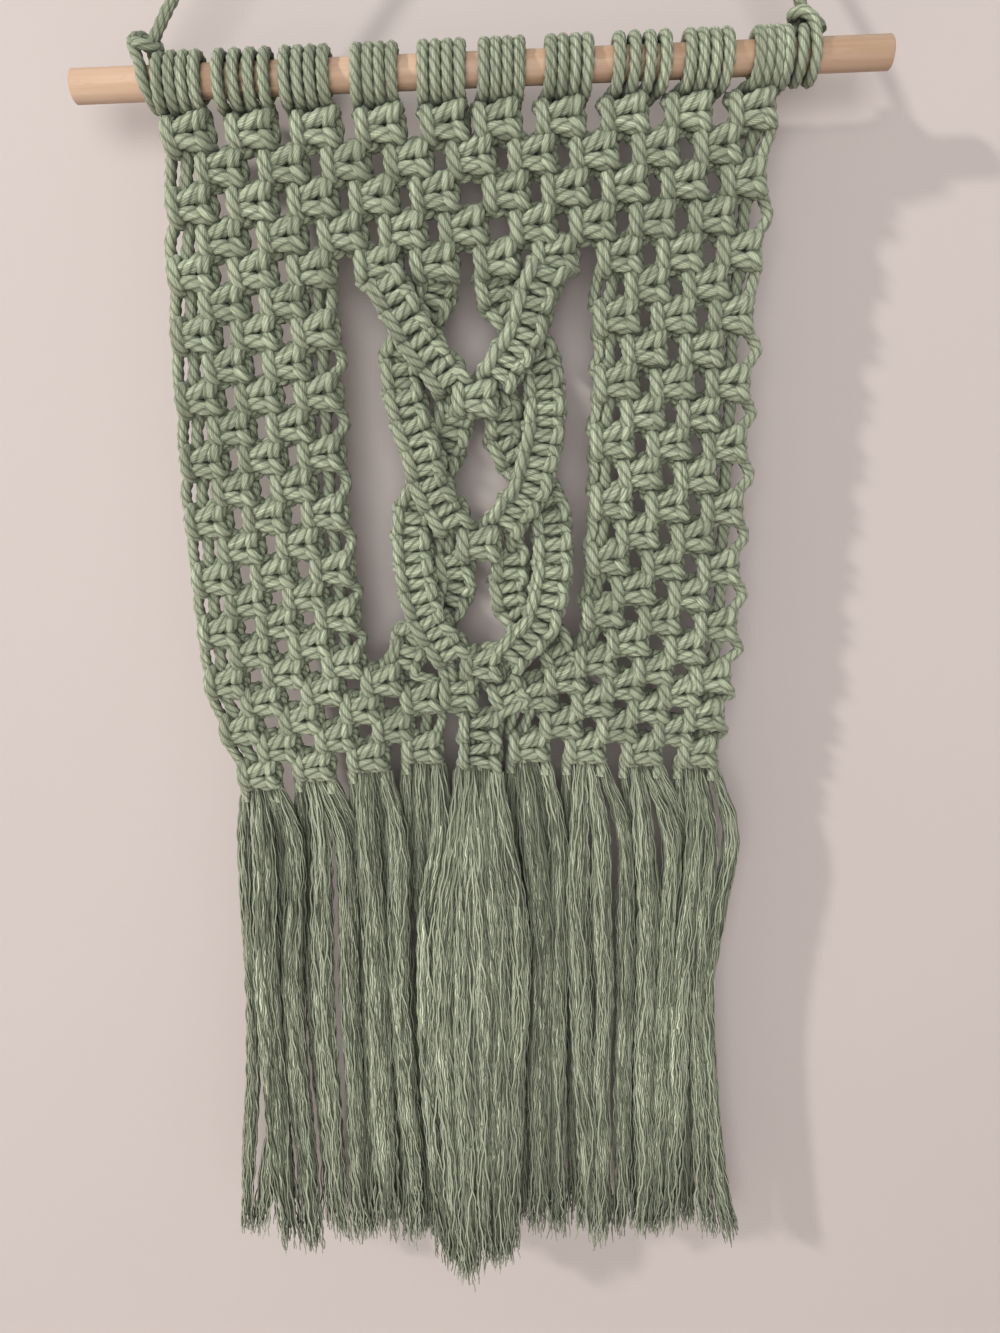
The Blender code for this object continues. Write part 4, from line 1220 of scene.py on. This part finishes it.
for number, locks in LOCKS.items():
    guides = [lock_line(strand, *rest) for strand, _, *rest in locks]
    radii = [[lock[1] * MM] * len(guide) for lock, guide in zip(locks, guides)]
    numbers = {"Finish": FRINGE_FINISH, "Seed": 100 * number}
    piece = run_tree(lines_object(f"tuft_{number}", guides, radii), LOCK_TREE, f"tuft_{number}", numbers)
    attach(piece, "root")
    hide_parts(f"fringe_{number}")
print(len(LOCKS), "tufts in the fringe")

# %% [markdown]
# ## Birch rod
# The rod is a plain sanded dowel of pale birch, sawn square with its edges broken. The solid is a
# many-sided bar, which would show its flat sides, so a finer turned one takes its place. The grain runs
# along it as long faint streaks with short dark flecks.

# %% Turn the rod
ROD_RADIUS, ROD_LENGTH, ROD_SIDES, BROKEN_EDGE = 6.0, 300.0, 96, 0.45


def turned_rod():
    """Rings of points from end to end, closed by a point at the middle of each end."""
    half, thin = ROD_LENGTH / 2, ROD_RADIUS - BROKEN_EDGE
    edge = half - BROKEN_EDGE
    rings = [(-half, thin), (-edge, ROD_RADIUS), (edge, ROD_RADIUS), (half, thin)]
    points, faces = [], []
    for x, radius in rings:
        for n in range(ROD_SIDES):
            angle = math.tau * n / ROD_SIDES
            points.append((x, radius * math.cos(angle), radius * math.sin(angle)))
    for ring in range(len(rings) - 1):
        for n in range(ROD_SIDES):
            a, b = ring * ROD_SIDES + n, ring * ROD_SIDES + (n + 1) % ROD_SIDES
            faces.append((a, b, b + ROD_SIDES, a + ROD_SIDES))
    points += [(-half, 0.0, 0.0), (half, 0.0, 0.0)]
    last = (len(rings) - 1) * ROD_SIDES
    for n in range(ROD_SIDES):
        after = (n + 1) % ROD_SIDES
        faces.append((len(points) - 2, after, n))
        faces.append((len(points) - 1, last + n, last + after))
    cos, sin = math.cos(ROD_TILT), math.sin(ROD_TILT)
    placed = [(ROD_MIDDLE + Vector((x * cos - z * sin, y, x * sin + z * cos))) * MM for x, y, z in points]
    mesh = bpy.data.meshes.new("birch_rod")
    mesh.from_pydata(placed, [], faces)
    mesh.polygons.foreach_set("use_smooth", [abs(face.normal.x) < 0.5 for face in mesh.polygons])
    return mesh


rod = add_object("birch_rod", turned_rod())
print("rod faces:", len(rod.data.polygons))

# %% The birch finish
def birch_finish():
    made, tree, shader = new_finish("birch_rod")
    turned = tree.shader("Mapping", {"Vector": tree.spot(), "Rotation": (0.0, ROD_TILT, 0.0)})
    streaks = tree.noise(tree.stretch(turned, (9.0, 260.0, 260.0)), detail=4.0, rough=0.55)
    flecks = tree.noise(tree.stretch(turned, (140.0, 900.0, 900.0)))
    ramp = tree.put("ShaderNodeValToRGB", {"Fac": streaks})
    dark, pale = ramp.color_ramp.elements
    dark.position, dark.color = 0.30, (0.415, 0.262, 0.163, 1.0)
    pale.position, pale.color = 0.70, (0.545, 0.385, 0.272, 1.0)
    colour = tree.shade(ramp.outputs[0], tree.remap(flecks, 0.62, 0.78, 1.0, 0.82))
    raised = tree.shader("Bump", {"Strength": 0.25, "Distance": 0.2 * MM, "Height": streaks})
    rough = tree.remap(streaks, 0.2, 0.8, 0.62, 0.48)
    tree.fill(shader, {"Base Color": colour, "Roughness": rough, "Normal": raised})
    return made


rod.data.materials.append(birch_finish())
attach(rod, "root")
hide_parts("dowel")
print("rod finish:", rod.data.materials[0].name)

# %% [markdown]
# ## Stage and light
# A wall hanging shows best against a plain pale wall, close enough to take its shadow. Backdrop and
# floor are one sheet that curves from one to the other. A small lamp above on the left models the knots
# and throws the shadow, a wide one in front softens it, and a dim world light fills the rest.

# %% Backdrop and floor in one sheet, in metres
WALL_BEHIND, WALL_HIGH, WALL_HALF = 0.034, 1.2, 2.0
FLOOR_LOW, FLOOR_FRONT, CURVE, CURVE_STEPS = -0.90, -2.5, 0.12, 12


def pale_sheet():
    made, tree, shader = new_finish("pale_wall")
    cloud = tree.noise(tree.spot(), 2.5)
    colour = tree.mix(cloud, (0.445, 0.395, 0.375, 1.0), (0.50, 0.445, 0.423, 1.0))
    tree.fill(shader, {"Base Color": colour, "Roughness": 0.8})
    return made


section = [(WALL_BEHIND, WALL_HIGH)]
for n in range(CURVE_STEPS + 1):
    angle = math.pi / 2 * n / CURVE_STEPS
    out, down = CURVE * (1 - math.cos(angle)), CURVE * (1 - math.sin(angle))
    section.append((WALL_BEHIND - out, FLOOR_LOW + down))
section.append((FLOOR_FRONT, FLOOR_LOW))
points = [(x, y, z) for y, z in section for x in (-WALL_HALF, WALL_HALF)]
faces = [(2 * n, 2 * n + 1, 2 * n + 3, 2 * n + 2) for n in range(len(section) - 1)]
sheet_mesh = bpy.data.meshes.new("wall_and_floor")
sheet_mesh.from_pydata(points, [], faces)
sheet_mesh.polygons.foreach_set("use_smooth", [True] * len(faces))
wall = add_object("wall_and_floor", sheet_mesh)
wall.data.materials.append(pale_sheet())
print("wall", WALL_BEHIND / MM, "mm behind the piece")

# %% Lamps
def lamp(name, place, target, size, watts, colour):
    data = bpy.data.lights.new(name, "AREA")
    data.shape = "DISK"
    data.size, data.energy, data.color = size, watts, colour
    made = add_object(name, data)
    made.location = place
    made.rotation_euler = (Vector(target) - Vector(place)).to_track_quat("-Z", "Y").to_euler()


lamp("key_lamp", (-3.3, -2.2, 1.75), (0.0, 0.0, -0.35), 0.26, 120.0, (1.0, 0.97, 0.93))
lamp("front_lamp", (-0.2, -2.3, 0.1), (0.0, 0.0, -0.40), 1.5, 40.0, (1.0, 0.99, 0.98))
world = bpy.data.worlds.new("soft_room")
world.use_nodes = True
background = world.node_tree.nodes["Background"].inputs
background["Color"].default_value = (0.92, 0.93, 0.95, 1.0)
background["Strength"].default_value = 0.42
bpy.context.scene.world = world
bpy.context.scene.view_settings.view_transform = "Standard"
